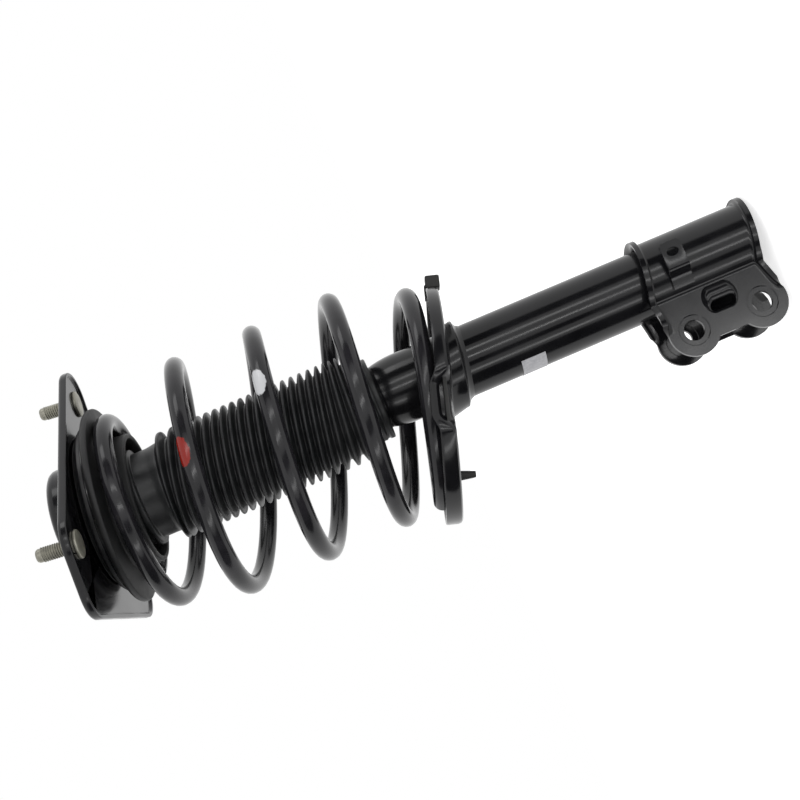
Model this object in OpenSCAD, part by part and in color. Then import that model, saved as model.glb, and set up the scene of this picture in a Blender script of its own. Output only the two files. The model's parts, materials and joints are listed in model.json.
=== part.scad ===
// Complete front strut: damper, coil spring, gaiter, bearing top mount and knuckle bracket.
// The origin is the middle of the mount plate's upper face, +Z runs up the damper to the car body,
// -X is the side where the knuckle ears stand, and all sizes are in millimetres.

/* [Top mount] */
// Lean of the mount, bearing and upper seat from the damper rod, degrees
mount_tilt = 6; // [5:0.5:8]
// Depth under the plate at which the mount axis crosses the rod axis
mount_pivot = 39; // [30:1:42]
// Circle through the three studs
stud_circle = 165; // [156:1:184]
// Thread diameter of a stud
stud_d = 10; // [8:1:12]
// Length of a stud above the plate
stud_len = 22; // [16:1:34]
// Diameter of a stud's head
stud_head_d = 19; // [16:0.5:24]
// Angle of the first stud from +X
stud_turn = 12; // [-10:1:20]
// Sheet thickness of the plate
plate_t = 3; // [2:0.5:4]
// Depth of the rim turned down round the plate
plate_rim = 6; // [5:0.5:10]
plate_corner = [-51, -69]; // middle of the plate's fourth rounded corner, beside a stud
// Radius of the plate round each stud
lobe_r = 23.5; // [17:0.5:24]
// Outer diameter of the cup above the plate
cup_d = 72; // [66:1:76]
// Height of the cup above the plate
cup_h = 21; // [14:1:24]
// Sheet thickness of the cup
cup_t = 2.5; // [2:0.1:3]
// Diameter of the opening in the cup's top
cup_mouth = 42; // [38:1:48]

/* [Bearing] */
// Circle through the ball centres
ball_circle = 104; // [100:1:106]
// Ball diameter
ball_d = 4; // [3.5:0.25:5]
// Number of balls
ball_count = 24; // [18:1:28]
// Outer diameter of the bearing's upper shell
shell_d = 118; // [116:1:119]
// Thickness of each race
race_t = 2; // [1.8:0.1:2.6]

/* [Upper spring seat] */
// Outer diameter of the pressed seat
upper_seat_d = 126; // [124:1:130]
// Sheet thickness of the seat
upper_seat_t = 2.6; // [2:0.1:3]
// Outer diameter of the rubber pad
upper_pad_d = 139; // [136:1:144]
// Rubber between the seat and the spring wire
upper_pad_t = 2; // [1.5:0.25:4]
// Depth of the pad's collar below the seat
collar_h = 20; // [12:1:22]

/* [Spring] */
// Wire diameter
wire_d = 13; // [10:0.25:14]
// Diameter of the middle coils, wire centre to wire centre
coil_d = 160; // [156:1:176]
// The same at the small top coil
coil_top_d = 107; // [103:1:116]
// Turns of wire that lie on the top pad
top_turns = 0.45; // [0.3:0.05:0.6]
// Turns from the top pad to the wire's lower end on the bottom pad
free_turns = 4.45; // [4:0.05:5]
// Lean of the middle coils, degrees
coil_tilt = 12.5; // [8:0.5:14]
// Shift of the coils from the rod axis towards the knuckle
coil_shift = 5; // [4:0.5:9]

/* [Lower spring seat] */
// Depth of the dish's middle below the plate
seat_depth = 254.5; // [220:0.5:320]
// Outer diameter of the dish
seat_d = 166; // [160:1:200]
// Shift of the dish from the rod axis towards the knuckle
seat_shift = 23; // [18:0.5:26]
// Lean of the dish, degrees
seat_tilt = 17; // [12:0.5:18]
// Sheet thickness of the dish
seat_t = 3; // [2:0.25:4]
// Height of the rim round the dish
seat_rim = 8; // [6:0.5:12]
// Rubber between the dish and the spring wire
lower_pad_t = 2.5; // [1.5:0.25:4]
// Diameter of the nub that holds the pad in the dish
nub_d = 7; // [4:0.5:8]
// How far the seat's neck stands out from the tube
neck_step = 5.5; // [3:0.5:8]
// Width of the drain gap in the rim
drain_gap = 30; // [8:1:34]

/* [Damper] */
// Depth of the tube's lower end below the plate
strut_len = 497; // [460:1:620]
// Height of the tube's upper end above the spring seat
tube_over_seat = 44.5; // [30:0.5:60]
// Outer diameter of the tube
tube_d = 50; // [46:0.5:54]
// Wall of the tube
tube_wall = 2.3; // [1.8:0.1:3]
// Rod diameter
rod_d = 22; // [18:0.5:23]
// Bore of the pressure tube
bore_d = 30; // [28:0.5:32]
// Wall of the pressure tube
bore_wall = 1.5; // [1:0.1:2]
// Working travel from full droop to full bump
stroke = 110; // [80:1:115]

/* [Gaiter and bump stop] */
// Outer diameter over the ribs
boot_d = 76; // [72:1:84]
// Outer diameter in the valleys between the ribs
boot_valley_d = 64; // [62:1:66]
// Number of ribs
boot_ribs = 23; // [16:1:26]
// Wall of the gaiter
boot_wall = 2; // [1.5:0.1:2.4]
// How far the gaiter's end cuff stands out from the tube
cuff_step = 4.5; // [3:0.25:6]
// Length of the bump stop
bump_len = 62; // [40:1:64]
// Largest diameter of the bump stop
bump_d = 48; // [42:1:52]

/* [Knuckle bracket] */
// Sheet thickness of the bracket
bracket_t = 3.5; // [3:0.25:4]
// Clear gap between the two ears
ear_gap = 37; // [34:0.5:40]
// Height of the bracket's upper end above the tube's lower end
bracket_rise = 84.5; // [80:0.5:96]
// Length of the bracket along the tube
bracket_len = 84; // [72:1:86]
// Lean of the bracket's end faces, degrees
bracket_lean = 11; // [0:0.5:13]
// Diameter of the two bolt holes
bolt_hole_d = 14.5; // [12:0.5:16]
// Distance between the two bolt holes
bolt_pitch = 51; // [46:0.5:54]
// Distance of the bolt holes from the rod axis
bolt_offset = 45; // [40:0.5:48]
// Radius of the ears round each bolt hole
ear_r = 18; // [15:0.5:20]
// Height of the flange turned out along the bracket's ends
flange_h = 3.5; // [3:0.5:7]
// Length of the slot between the bolt holes
slot_len = 19; // [12:1:24]
// Width of that slot
slot_w = 7.5; // [5:0.5:10]
// Width of the hose tab
tab_w = 15; // [12:0.5:18]
// Hole in the hose tab
tab_hole_d = 6.5; // [5:0.5:8]

/* [Hidden] */

$fn = 96;
touch = 0.05;      // radial gap between round pieces fixed to each other
run = 0.05;        // radial running clearance of rod, piston and balls
clear = 0.4;       // gap between the spring wire and its pads
eps = 1;           // overrun of a cutting tool

// Sizes that follow from the ones above
wire_r = wire_d / 2;
collar_gap = 1;    // room between the wire and the top pad's collar
collar_d = coil_top_d - wire_d - 2 * collar_gap;
side_gap = 4.5;    // room between the wire and the dish's rim
coil_bottom_d = seat_d - 2 * (seat_t + side_gap) - wire_d;
neck_d = tube_d + 2 * neck_step;
cuff_d = tube_d + 2 * cuff_step;
tube_top = seat_depth - tube_over_seat;
bracket_top = strut_len - bracket_rise;

// Places on the mount axis, measured from the plate's upper face
w_plate = -plate_t;
w_cup = w_plate - cup_t;
rubber_t = 3;
w_rubber = w_cup - rubber_t;
shell_t = 2;
w_shell = w_rubber - shell_t;
w_upper_race = w_shell - race_t;
groove = 0.8;      // depth of the ball track in a race
w_ball = w_upper_race - ball_d / 2 + groove;
w_lower_race = w_ball - ball_d / 2 + groove;
w_seat_top = w_lower_race - race_t;
w_seat = w_seat_top - upper_seat_t;
w_pad = w_seat - upper_pad_t;
race_r = ball_circle / 2;
race_half = 5;     // half the radial width of a race

// Places on the rod axis, measured from the plate's upper face
strut_x = -mount_pivot * sin(mount_tilt);
hub_top = -10;
hub_bottom = -24;
hub_r = 16;
bump_cup_t = 2;
rod_shoulder = hub_bottom - bump_cup_t;
thread_r = 7;
washer_t = 2.5;
nut_af = 22;
nut_h = 11;
rod_tip = hub_top + washer_t + nut_h + 4;
bump_cup_h = 14;
bump_cup_r = 30.5;

tube_r = tube_d / 2;
tube_in = tube_r - tube_wall;
lip_t = 2.5;
seal_t = 5;
guide_flange = 8;
guide_len = 22;
z_tube_top = -tube_top;
z_tube_end = -strut_len;
z_seal = z_tube_top - lip_t;
z_guide = z_seal - seal_t;
z_guide_end = z_guide - guide_len;
cap_t = 6;
valve_h = 18;
z_valve = z_tube_end + cap_t;
bore_r = bore_d / 2;
rod_r = rod_d / 2;
stop_gap = 1;
stop_h = 10;
z_stop = z_guide_end - stop_gap;
shim_t = 1.2;
piston_h = 20;
piston_nut_h = 9;
piston_gap = 12;
z_piston = z_stop - stop_h - piston_gap;
z_rod_end = z_piston - piston_h - 2 * shim_t - piston_nut_h - 3;

// Gaiter levels
boot_top = rod_shoulder - 2;
boot_flange = -38;
boot_neck = -52;
boot_cuff = z_tube_top + 4;
boot_end = z_tube_top - 5;
boot_in = bump_cup_r + 0.3;
cuff_in = tube_r + 0.4;

// Spring: a wire whose half-flat ends lie on the two pads
floor_s = -1;      // top of the dish's floor above the dish's middle
coil_s = floor_s + lower_pad_t + clear + wire_r;
top_z = (w_pad - clear - wire_r - strut_x * sin(mount_tilt)) / cos(mount_tilt);
bottom_z = -seat_depth + (coil_s - seat_shift * sin(seat_tilt)) / cos(seat_tilt);
lead_in = 0.4;     // turns over which the wire leaves the top coil
lead_out = 0.9;    // turns over which it comes down on the bottom pad
t_start = -top_turns;
t_end = free_turns;
t_flat = t_end + 0.1;  // where the wire would lie flat if it went on
rings = 24;        // rings of the wire's surface in a turn
sides = 8;         // sides of the wire's surface

function smooth(t, a, b) = let (s = min(1, max(0, (t - a) / (b - a)))) s * s * (3 - 2 * s);
function ramp(t, w) = t <= 0 ? 0 : t < w ? t * t / (2 * w) : t - w / 2;
ramp_span = t_flat - lead_out / 2 - lead_in / 2;
coil_pitch = (top_z - bottom_z) / ramp_span;
function coil_z0(t) = top_z - coil_pitch * (ramp(t, lead_in) - ramp(t - t_flat + lead_out, lead_out));
function coil_lean(t) = mount_tilt + (coil_tilt - mount_tilt) * smooth(t, 0.1, 1)
    + (seat_tilt - coil_tilt) * smooth(t, t_end - 0.8, t_end - 0.1);
function coil_r(t) = (coil_d - (coil_d - coil_top_d) * (1 - smooth(t, -0.2, 0.9))
    - (coil_d - coil_bottom_d) * smooth(t, t_end - 1.1, t_end - 0.1)) / 2;
// The coils' middle: on the mount axis at the top, off the rod axis lower down, and near the dish's middle
// at the end
low_shift = seat_shift - 3;
top_x = mount_pivot * sin(mount_tilt) + top_z * tan(mount_tilt);
function coil_x(t) = top_x - (top_x + coil_shift) * smooth(t, 0, 1.3)
    - (low_shift - coil_shift) * smooth(t, t_end - 1, t_end);
function coil_point(t) = let (x = coil_x(t) + coil_r(t) * cos(360 * t))
    [x, -coil_r(t) * sin(360 * t), coil_z0(t) - x * tan(coil_lean(t))];

coil_steps = round((t_end - t_start) * rings);
function coil_t(i) = t_start + (t_end - t_start) * i / coil_steps;
coil_path = [for (i = [0 : coil_steps]) coil_point(coil_t(i))];
turn_apart = round(rings * 0.6);
coil_gap = min([for (i = [0 : coil_steps - turn_apart]) for (j = [i + turn_apart : coil_steps])
    norm(coil_path[i] - coil_path[j])]) - wire_d;
echo(str("coil_spring: least gap between its turns, mm: ", coil_gap));

// Bracket outline in the plane of the ears
lean = tan(bracket_lean);
z_hole_1 = -bracket_top - 18.5;
z_hole_2 = z_hole_1 - bolt_pitch;
ear_in = ear_gap / 2;
ear_out = ear_in + bracket_t;
clamp_in = tube_r + 0.1;
clamp_out = clamp_in + bracket_t;

module on_mount() rotate([0, mount_tilt, 0]) children();
module on_strut() translate([strut_x, 0, 0]) children();
module on_seat() on_strut() translate([-seat_shift, 0, -seat_depth]) rotate([0, seat_tilt, 0]) children();

// A ring with its lower face at z and its upper face at z + h
module ring(r_out, r_in, z, h) rotate_extrude() translate([r_in, z]) square([r_out - r_in, h]);

module at_studs() for (i = [0 : 2])
    rotate([0, 0, stud_turn + 120 * i]) translate([stud_circle / 2, 0, 0]) children();

function stud_xy(i) = stud_circle / 2 * [cos(stud_turn + 120 * i), sin(stud_turn + 120 * i)];

// Plate outline: an arc of radius r round each stud and round the fourth corner, joined by straight sides
function side_way(p, q) = atan2(p[0] - q[0], q[1] - p[1]);
way_in = side_way(stud_xy(1), plate_corner) + 360;
way_out = side_way(plate_corner, stud_xy(2)) + 360;
corners = [[stud_xy(0), stud_turn - 60, stud_turn + 60], [stud_xy(1), stud_turn + 60, way_in],
    [plate_corner, way_in, way_out], [stud_xy(2), way_out, stud_turn + 300]];
corner_steps = 14;
module triangle_plan(r) polygon([for (c = corners) for (i = [0 : corner_steps])
    let (a = c[1] + (c[2] - c[1]) * i / corner_steps) c[0] + r * [cos(a), sin(a)]]);

module mount_plate() color("#15171a") on_mount() difference() {
    union() {
        translate([0, 0, w_plate]) linear_extrude(plate_t) triangle_plan(lobe_r);
        translate([0, 0, -plate_rim]) linear_extrude(plate_rim) difference() {
            triangle_plan(lobe_r);
            triangle_plan(lobe_r - plate_t);
        }
    }
    translate([0, 0, w_plate - eps]) cylinder(r = cup_d / 2 + touch, h = plate_t + 2 * eps);
    translate([0, 0, w_plate - eps]) at_studs() cylinder(r = shank_r + touch, h = plate_t + 2 * eps);
}

cup_flange_r = cup_d / 2 + 11;
module mount_cup() color("#101214") on_mount() {
    bend = 5;
    rotate_extrude() union() {
        translate([cup_d / 2 - cup_t, w_cup]) square([cup_t, cup_h - w_cup - bend]);
        translate([cup_d / 2 - cup_t, w_cup]) square([cup_flange_r - cup_d / 2 + cup_t, cup_t]);
        translate([cup_mouth / 2, cup_h - cup_t]) square([cup_d / 2 - bend - cup_mouth / 2, cup_t]);
        intersection() {
            translate([cup_d / 2 - bend, cup_h - bend]) difference() {
                circle(bend);
                circle(bend - cup_t);
            }
            translate([cup_d / 2 - bend, cup_h - bend]) square(bend);
        }
    }
}

stud_head_t = 3;
shank_r = stud_d / 2 + 0.6;  // the shank that is pressed into the plate
module mount_studs() color("#b5ad82") on_mount() at_studs() {
    tip = 1.2;
    translate([0, 0, w_plate - stud_head_t]) cylinder(d = stud_head_d, h = stud_head_t);
    translate([0, 0, w_plate]) cylinder(r = shank_r, h = plate_t);
    cylinder(d = stud_d, h = stud_len - tip);
    translate([0, 0, stud_len - tip]) cylinder(r1 = stud_d / 2, r2 = stud_d / 2 - tip, h = tip);
}

rubber_bore = 24;
rubber_r = 53;
module mount_rubber() color("#1a1a1a") on_mount() {
    ring(rubber_r, rubber_bore, w_rubber, rubber_t);
    ring(cup_d / 2 - cup_t - touch, rubber_bore, w_cup, cup_h - cup_t - 3 - w_cup);
}

module bearing_shell() color("#1d1f22") on_mount() {
    skirt = 6;
    ring(shell_d / 2, race_r - race_half, w_shell, shell_t);
    ring(shell_d / 2, shell_d / 2 - 1.8, w_shell - skirt, skirt);
}

// One flat race with its ball track; the ball circle's middle lies at w_ball
module race(w_low) difference() {
    ring(race_r + race_half, race_r - race_half, w_low, race_t);
    translate([0, 0, w_ball]) rotate_extrude() translate([race_r, 0]) circle(ball_d / 2 + run);
}

module bearing_upper_race() color("silver") on_mount() race(w_upper_race);
module bearing_lower_race() color("silver") on_mount() race(w_seat_top);

module at_balls() for (i = [0 : ball_count - 1])
    rotate([0, 0, 360 / ball_count * i]) translate([race_r, 0, w_ball]) children();

module bearing_cage() color("#d8d2bb") on_mount() difference() {
    cage_t = 1.6;
    ring(race_r + ball_d / 2 + 1.6, race_r - ball_d / 2 - 1.6, w_ball - cage_t / 2, cage_t);
    at_balls() cylinder(r = ball_d / 2 + 0.15, h = cage_t + 2 * eps, center = true, $fn = 32);
}

module bearing_balls() color("silver") on_mount() at_balls() sphere(d = ball_d, $fn = 32);

module upper_spring_seat() color("#1b1d20") difference() {
    union() {
        on_mount() {
            ring(upper_seat_d / 2, hub_r - 4, w_seat, upper_seat_t);
            ring(upper_seat_d / 2, upper_seat_d / 2 - 2, w_seat, upper_seat_t + 3);
        }
        on_strut() translate([0, 0, hub_bottom]) cylinder(r = hub_r, h = hub_top - hub_bottom);
    }
    on_strut() translate([0, 0, hub_bottom - eps])
        cylinder(r = thread_r + touch, h = hub_top - hub_bottom + 2 * eps);
}

module upper_spring_pad() color("#17181a") on_mount() {
    lip = 3.5;
    ring(upper_pad_d / 2, collar_d / 2 - 3.5, w_pad, upper_pad_t);
    ring(upper_pad_d / 2, upper_seat_d / 2 + touch, w_seat, lip);
    ring(collar_d / 2, collar_d / 2 - 3.5, w_seat - collar_h, collar_h);
}

washer_r = 15;
module rod_washer() color("#8f9094") on_strut() ring(washer_r, thread_r + touch, hub_top, washer_t);

module rod_nut() color("#9a9ba0") on_strut() translate([0, 0, hub_top + washer_t]) difference() {
    cylinder(d = nut_af / cos(30), h = nut_h, $fn = 6);
    translate([0, 0, -eps]) cylinder(r = thread_r + touch, h = nut_h + 2 * eps);
}

module piston_rod() color("#c9ccd2") on_strut() {
    translate([0, 0, rod_shoulder]) cylinder(r = thread_r, h = rod_tip - rod_shoulder - 1);
    translate([0, 0, rod_tip - 1]) cylinder(r1 = thread_r, r2 = thread_r - 1, h = 1);
    translate([0, 0, z_piston]) cylinder(r = rod_r, h = rod_shoulder - z_piston);
    translate([0, 0, z_rod_end]) cylinder(r = thread_r, h = z_piston - z_rod_end);
}

module rebound_stop() color("#3a3a3c") on_strut() ring(bore_r - 1, rod_r + touch, z_stop - stop_h, stop_h);

z_piston_low = z_piston - shim_t - piston_h;
piston_land = 4;   // height of the piston's land above and below its band
band_t = 1.6;
port_r = 1.6;
module piston() color("#8d8f92") on_strut() difference() {
    ring(bore_r - 0.6, thread_r + touch, z_piston_low, piston_h);
    for (i = [0 : 7]) rotate([0, 0, 45 * i])
        translate([(bore_r + thread_r) / 2 - 0.3, 0, z_piston_low - eps])
            cylinder(r = port_r, h = piston_h + 2 * eps, $fn = 24);
    ring(bore_r, bore_r - band_t, z_piston_low + piston_land, piston_h - 2 * piston_land);
}

module piston_band() color("#2e3a3a") on_strut()
    ring(bore_r - run, bore_r - band_t + touch,
        z_piston_low + piston_land + touch, piston_h - 2 * (piston_land + touch));

module piston_shims() color("#a8abb0") on_strut() for (z = [z_piston - shim_t, z_piston_low - shim_t])
    ring(bore_r - 3.5, thread_r + touch, z, shim_t);

piston_nut_d = 22;
module piston_nut() color("#8d8f92") on_strut()
    translate([0, 0, z_piston_low - shim_t - piston_nut_h]) difference() {
        cylinder(d = piston_nut_d, h = piston_nut_h, $fn = 6);
        translate([0, 0, -eps]) cylinder(r = thread_r + touch, h = piston_nut_h + 2 * eps);
    }

module bump_cup() color("#202226") on_strut() {
    ring(bump_cup_r, thread_r + touch, rod_shoulder, bump_cup_t);
    ring(bump_cup_r, bump_cup_r - bump_cup_t, rod_shoulder - bump_cup_h + bump_cup_t, bump_cup_h);
}

module bump_stop() color("#b8a24a") on_strut() translate([0, 0, rod_shoulder - bump_len]) rotate_extrude() {
    bump_in = rod_r + 0.3;
    bump_r = bump_d / 2;
    // The outer line: how far it stands in from the largest radius, and its height as a share of the length
    line = [[9, 0], [7, 0.12], [6, 0.22], [10, 0.30], [5, 0.38], [4, 0.50], [8, 0.58], [0, 0.68], [0, 1]];
    polygon(concat([[bump_in, 0]], [for (p = line) [bump_r - p[0], bump_len * p[1]]], [[bump_in, bump_len]]));
}

rib_top = boot_neck - 4;
rib_pitch = (rib_top - (boot_cuff + 3)) / boot_ribs;
rib_r = boot_d / 2;
valley_r = boot_valley_d / 2;
// Outer line of the ribs, or the inner one when moved in by the wall
function rib_line(inset) = [for (i = [0 : boot_ribs - 1]) for (p = [[0, 0], [0.3, 1], [0.7, 1]])
    [valley_r + (rib_r - valley_r) * p[1] - inset, rib_top - (i + p[0]) * rib_pitch]];
// A list in the other order
function flip(list) = [for (i = [len(list) - 1 : -1 : 0]) list[i]];
module dust_boot() color("#121212") on_strut() rotate_extrude() {
    neck_r = 31;
    neck_in = neck_r - boot_wall;
    flange_r = 35;
    flange_half = 2;
    collar_r = boot_in + 2.2;
    cuff_r = cuff_d / 2;
    z_fold = boot_cuff + 3;
    polygon(concat(
        [[collar_r, boot_top], [collar_r, boot_flange + flange_half], [flange_r, boot_flange + flange_half],
         [flange_r, boot_flange - flange_half], [neck_r, boot_flange - flange_half], [neck_r, boot_neck],
         [valley_r, rib_top + 1]],
        rib_line(0),
        [[valley_r, z_fold], [cuff_r - 2, boot_cuff + 1.5], [cuff_r, boot_cuff], [cuff_r, boot_end],
         [cuff_in, boot_end], [cuff_in, boot_cuff], [valley_r - boot_wall, z_fold]],
        flip(rib_line(boot_wall)),
        [[neck_in, boot_neck], [neck_in, boot_flange - 1.5],
         [boot_in, boot_flange - 1.5], [boot_in, boot_top]]));
}

// Tube swept along a path: each ring square to the path, the ends closed by fans
module sweep(path, r, n) {
    last = len(path) - 1;
    ahead = [for (i = [0 : last]) path[min(i + 1, last)] - path[max(i - 1, 0)]];
    points = [for (i = [0 : last]) let (
            t = ahead[i] / norm(ahead[i]),
            u0 = cross(t, [0, 0, 1]),
            u = u0 / norm(u0),
            v = cross(t, u))
        for (k = [0 : n - 1]) path[i] + r * (cos(360 * k / n) * u + sin(360 * k / n) * v)];
    faces = [for (i = [0 : last - 1]) for (k = [0 : n - 1]) for (half = [0, 1]) let (
            a = i * n + k,
            b = i * n + (k + 1) % n)
        half == 0 ? [a, b, b + n] : [a, b + n, a + n]];
    caps = [for (k = [1 : n - 2]) for (end = [0, 1])
        end == 0 ? [0, k + 1, k] : [last * n, last * n + k, last * n + k + 1]];
    polyhedron(points, concat(faces, caps));
}

module coil_spring() color("#0e0f10") on_strut() sweep(coil_path, wire_r, sides);

module strut_tube() color("#101113") on_strut() rotate_extrude() {
    shoulder = 14;     // length over which the tube's end is drawn in
    shoulder_in = 4;
    lip_in = rod_r + 2;
    polygon(concat(
        [[lip_in, z_tube_top]],
        [for (a = [0 : 15 : 90]) [tube_r - shoulder_in * (1 - sin(a)), z_tube_top - shoulder * (1 - cos(a))]],
        [[tube_r, z_tube_end], [tube_in, z_tube_end], [tube_in, z_seal], [lip_in, z_seal]]));
}

module tube_end_cap() color("#101113") on_strut() {
    ring(tube_in - touch, 0, z_tube_end, cap_t - 2);
    ring(tube_in - touch, tube_in - 5, z_tube_end + cap_t - 2, 2);
}

module pressure_tube() color("#a9adb3") on_strut()
    ring(bore_r + bore_wall, bore_r, z_valve + 10, z_guide - guide_flange - z_valve - 10);

module base_valve() color("#9b9da1") on_strut() difference() {
    union() {
        ring(bore_r - touch, 0, z_valve + 3, valve_h);
        ring(tube_in - 1, 0, z_valve + 3, 7);
        ring(tube_in - touch, tube_in - 4, z_valve, 10);
    }
    for (i = [0 : 5]) rotate([0, 0, 60 * i]) translate([bore_r * 0.6, 0, z_valve])
        cylinder(r = 1.8, h = valve_h + 10, $fn = 24);
    for (i = [0 : 3]) rotate([0, 0, 90 * i + 20]) translate([tube_in - 3, 0, z_valve - eps])
        cylinder(r = 2, h = 12 + eps, $fn = 24);
}

module rod_guide() color("#7d8085") on_strut() {
    ring(tube_in - touch, rod_r + bush_t + touch, z_guide - guide_flange, guide_flange);
    ring(bore_r - touch, rod_r + bush_t + touch, z_guide_end, guide_len - guide_flange);
}

bush_t = 1.6;
module guide_bush() color("#6e5a3a") on_strut()
    ring(rod_r + bush_t, rod_r + run, z_guide_end + 1, guide_len - 2);

module rod_seal() color("#26262a") on_strut() ring(tube_in - touch, rod_r + run, z_guide, seal_t);

seat_r = seat_d / 2;
neck_r_out = neck_d / 2;
neck_drop = 11;
neck_cone = 4;
drain_at = -94;    // direction of the drain gap from +X
module lower_spring_seat() color("#131416") difference() {
    union() {
        on_seat() {
            ring(seat_r, 0, floor_s - seat_t, seat_t);
            ring(seat_r, seat_r - seat_t, floor_s - seat_t, seat_rim);
        }
        on_strut() translate([0, 0, -seat_depth - seat_shift * tan(seat_tilt) - neck_drop]) {
            cylinder(r = neck_r_out, h = neck_drop + 2);
            translate([0, 0, -neck_cone]) cylinder(r1 = tube_r + 1.5, r2 = neck_r_out, h = neck_cone);
        }
    }
    on_strut() translate([0, 0, -seat_depth - 80]) cylinder(r = tube_r + touch, h = 160);
    on_seat() rotate([0, 0, drain_at]) translate([seat_r - seat_t - 4, -drain_gap / 2, floor_s])
        cube([seat_t + 8, drain_gap, seat_rim + 2]);
    on_seat() translate([-nub_x, 0, floor_s - seat_t - eps]) cylinder(d = nub_d, h = seat_t + 2 * eps);
}

nub_x = seat_r - 33;
nub_len = 12.5;
pad_out = seat_r - seat_t - 0.3;
pad_in = pad_out - 17;
lug_w = 14;
lug_out = 7.5;     // how far the pad's lug stands out past the rim
module lower_spring_pad() color("#1c1d1d") on_seat() {
    tongue_w = nub_d + 8;
    ring(pad_out, pad_in, floor_s, lower_pad_t);
    translate([-pad_in - 1, -tongue_w / 2, floor_s]) cube([pad_in + 1 - nub_x, tongue_w, lower_pad_t]);
    translate([-nub_x, 0, floor_s]) cylinder(d = tongue_w, h = lower_pad_t);
    translate([-nub_x, 0, floor_s - seat_t - nub_len])
        cylinder(r1 = nub_d / 2 - 1.2, r2 = nub_d / 2, h = nub_len);
    translate([-nub_x, 0, floor_s - seat_t]) cylinder(d = nub_d - 2 * touch, h = seat_t + lower_pad_t);
    intersection() {
        union() {
            ring(seat_r + lug_out, pad_out - 3, floor_s - seat_t + seat_rim + touch, 3);
            ring(pad_out, pad_out - 3, floor_s, seat_rim + 1);
            ring(seat_r + lug_out, seat_r + touch, floor_s - seat_t, seat_rim + 3);
        }
        translate([pad_in + 12, -lug_w / 2, -20]) cube([40, lug_w, 60]);
    }
}

// Section of the bracket square to the tube: a band round the tube that runs out into two ears
module bracket_section(grow) difference() {
    reach = bolt_offset + ear_r + 20;
    union() {
        circle(clamp_out + grow);
        translate([-reach, -ear_out - grow]) square([reach, 2 * (ear_out + grow)]);
    }
    circle(clamp_in);
    translate([-reach - eps, -ear_in]) square([reach + eps, ear_gap]);
}

// End lines of the bracket in its side view, as heights at a given x
function upper_line(x) = -bracket_top - lean * x;
function lower_line(x) = -bracket_top - bracket_len - lean * x;
back_x = clamp_out + flange_h + 2;
bend_x = -17;
ear_edge = ear_r * 0.94;
module side_view() {
    polygon([[back_x, upper_line(back_x)], [bend_x, upper_line(bend_x)], [-bolt_offset, z_hole_1 + ear_edge],
        [-bolt_offset - 9, z_hole_1], [-bolt_offset - 9, z_hole_2], [-bolt_offset, z_hole_2 - ear_edge],
        [bend_x, lower_line(bend_x)], [back_x, lower_line(back_x)]]);
    for (z = [z_hole_1, z_hole_2]) translate([-bolt_offset, z]) circle(ear_r);
}
module end_strips() {
    upper = [[back_x, upper_line(back_x)], [bend_x, upper_line(bend_x)], [-bolt_offset, z_hole_1 + ear_edge]];
    lower = [[back_x, lower_line(back_x)], [bend_x, lower_line(bend_x)], [-bolt_offset, z_hole_2 - ear_edge]];
    polygon(concat(upper, [for (p = flip(upper)) p - [0, bracket_t]]));
    polygon(concat(lower, [for (p = flip(lower)) p + [0, bracket_t]]));
}
// Turns a side view, drawn in x and z, into a block across the whole width
module across(w) rotate([90, 0, 0]) translate([0, 0, -w / 2]) linear_extrude(w) children();

module knuckle_bracket() color("#131417") on_strut() difference() {
    width = 2 * (clamp_out + flange_h) + 10;
    z_low = z_hole_2 - ear_r - 10;
    tall = upper_line(bend_x) - z_low + 20;
    union() {
        intersection() {
            translate([0, 0, z_low]) linear_extrude(tall) bracket_section(0);
            across(width) side_view();
        }
        intersection() {
            translate([0, 0, z_low]) linear_extrude(tall) bracket_section(flange_h);
            across(width) end_strips();
        }
    }
    for (z = [z_hole_1, z_hole_2]) translate([-bolt_offset, 0, z]) rotate([90, 0, 0])
        cylinder(d = bolt_hole_d, h = 2 * ear_out + 20, center = true);
    for (side = [-1, 1]) translate([slot_x, 0, slot_z + side * (slot_len - slot_w) / 2]) rotate([90, 0, 0])
        cylinder(d = slot_w, h = 2 * ear_out + 20, center = true);
    translate([slot_x - slot_w / 2, -ear_out - 10, slot_z - (slot_len - slot_w) / 2])
        cube([slot_w, 2 * ear_out + 20, slot_len - slot_w]);
}
slot_x = 9.5 - bolt_offset;
slot_z = (z_hole_1 + z_hole_2) / 2;

tab_z = -bracket_top - 24;
tab_x = 9;
tab_t = 2.5;
tab_y = clamp_out + 4.5;
module hose_bracket() color("#141518") on_strut() difference() {
    translate([0, 0, tab_z - tab_w / 2]) linear_extrude(tab_w) difference() {
        polygon([[tab_x + 8, -tab_y - tab_t], [tab_x + 8, -tab_y], [1, -tab_y], [-4, -clamp_out + 1],
            [-13, -clamp_out + 4], [-15, -clamp_out + 1], [-6, -tab_y - tab_t + 1], [-1, -tab_y - tab_t]]);
        circle(clamp_out + touch);
    }
    translate([tab_x, 0, tab_z]) rotate([90, 0, 0]) cylinder(d = tab_hole_d, h = tab_y + 10);
}

label_len = 18;
label_t = 0.25;
label_start = 155; // direction of the label's first edge from +X
label_span = 70;
label_z = -seat_depth - 68.5;
module blank_label() color("#cfd2d4") on_strut() translate([0, 0, label_z - label_len / 2])
    rotate([0, 0, label_start]) rotate_extrude(angle = label_span)
        translate([tube_r + 0.02, 0]) square([label_t, label_len]);

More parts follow.
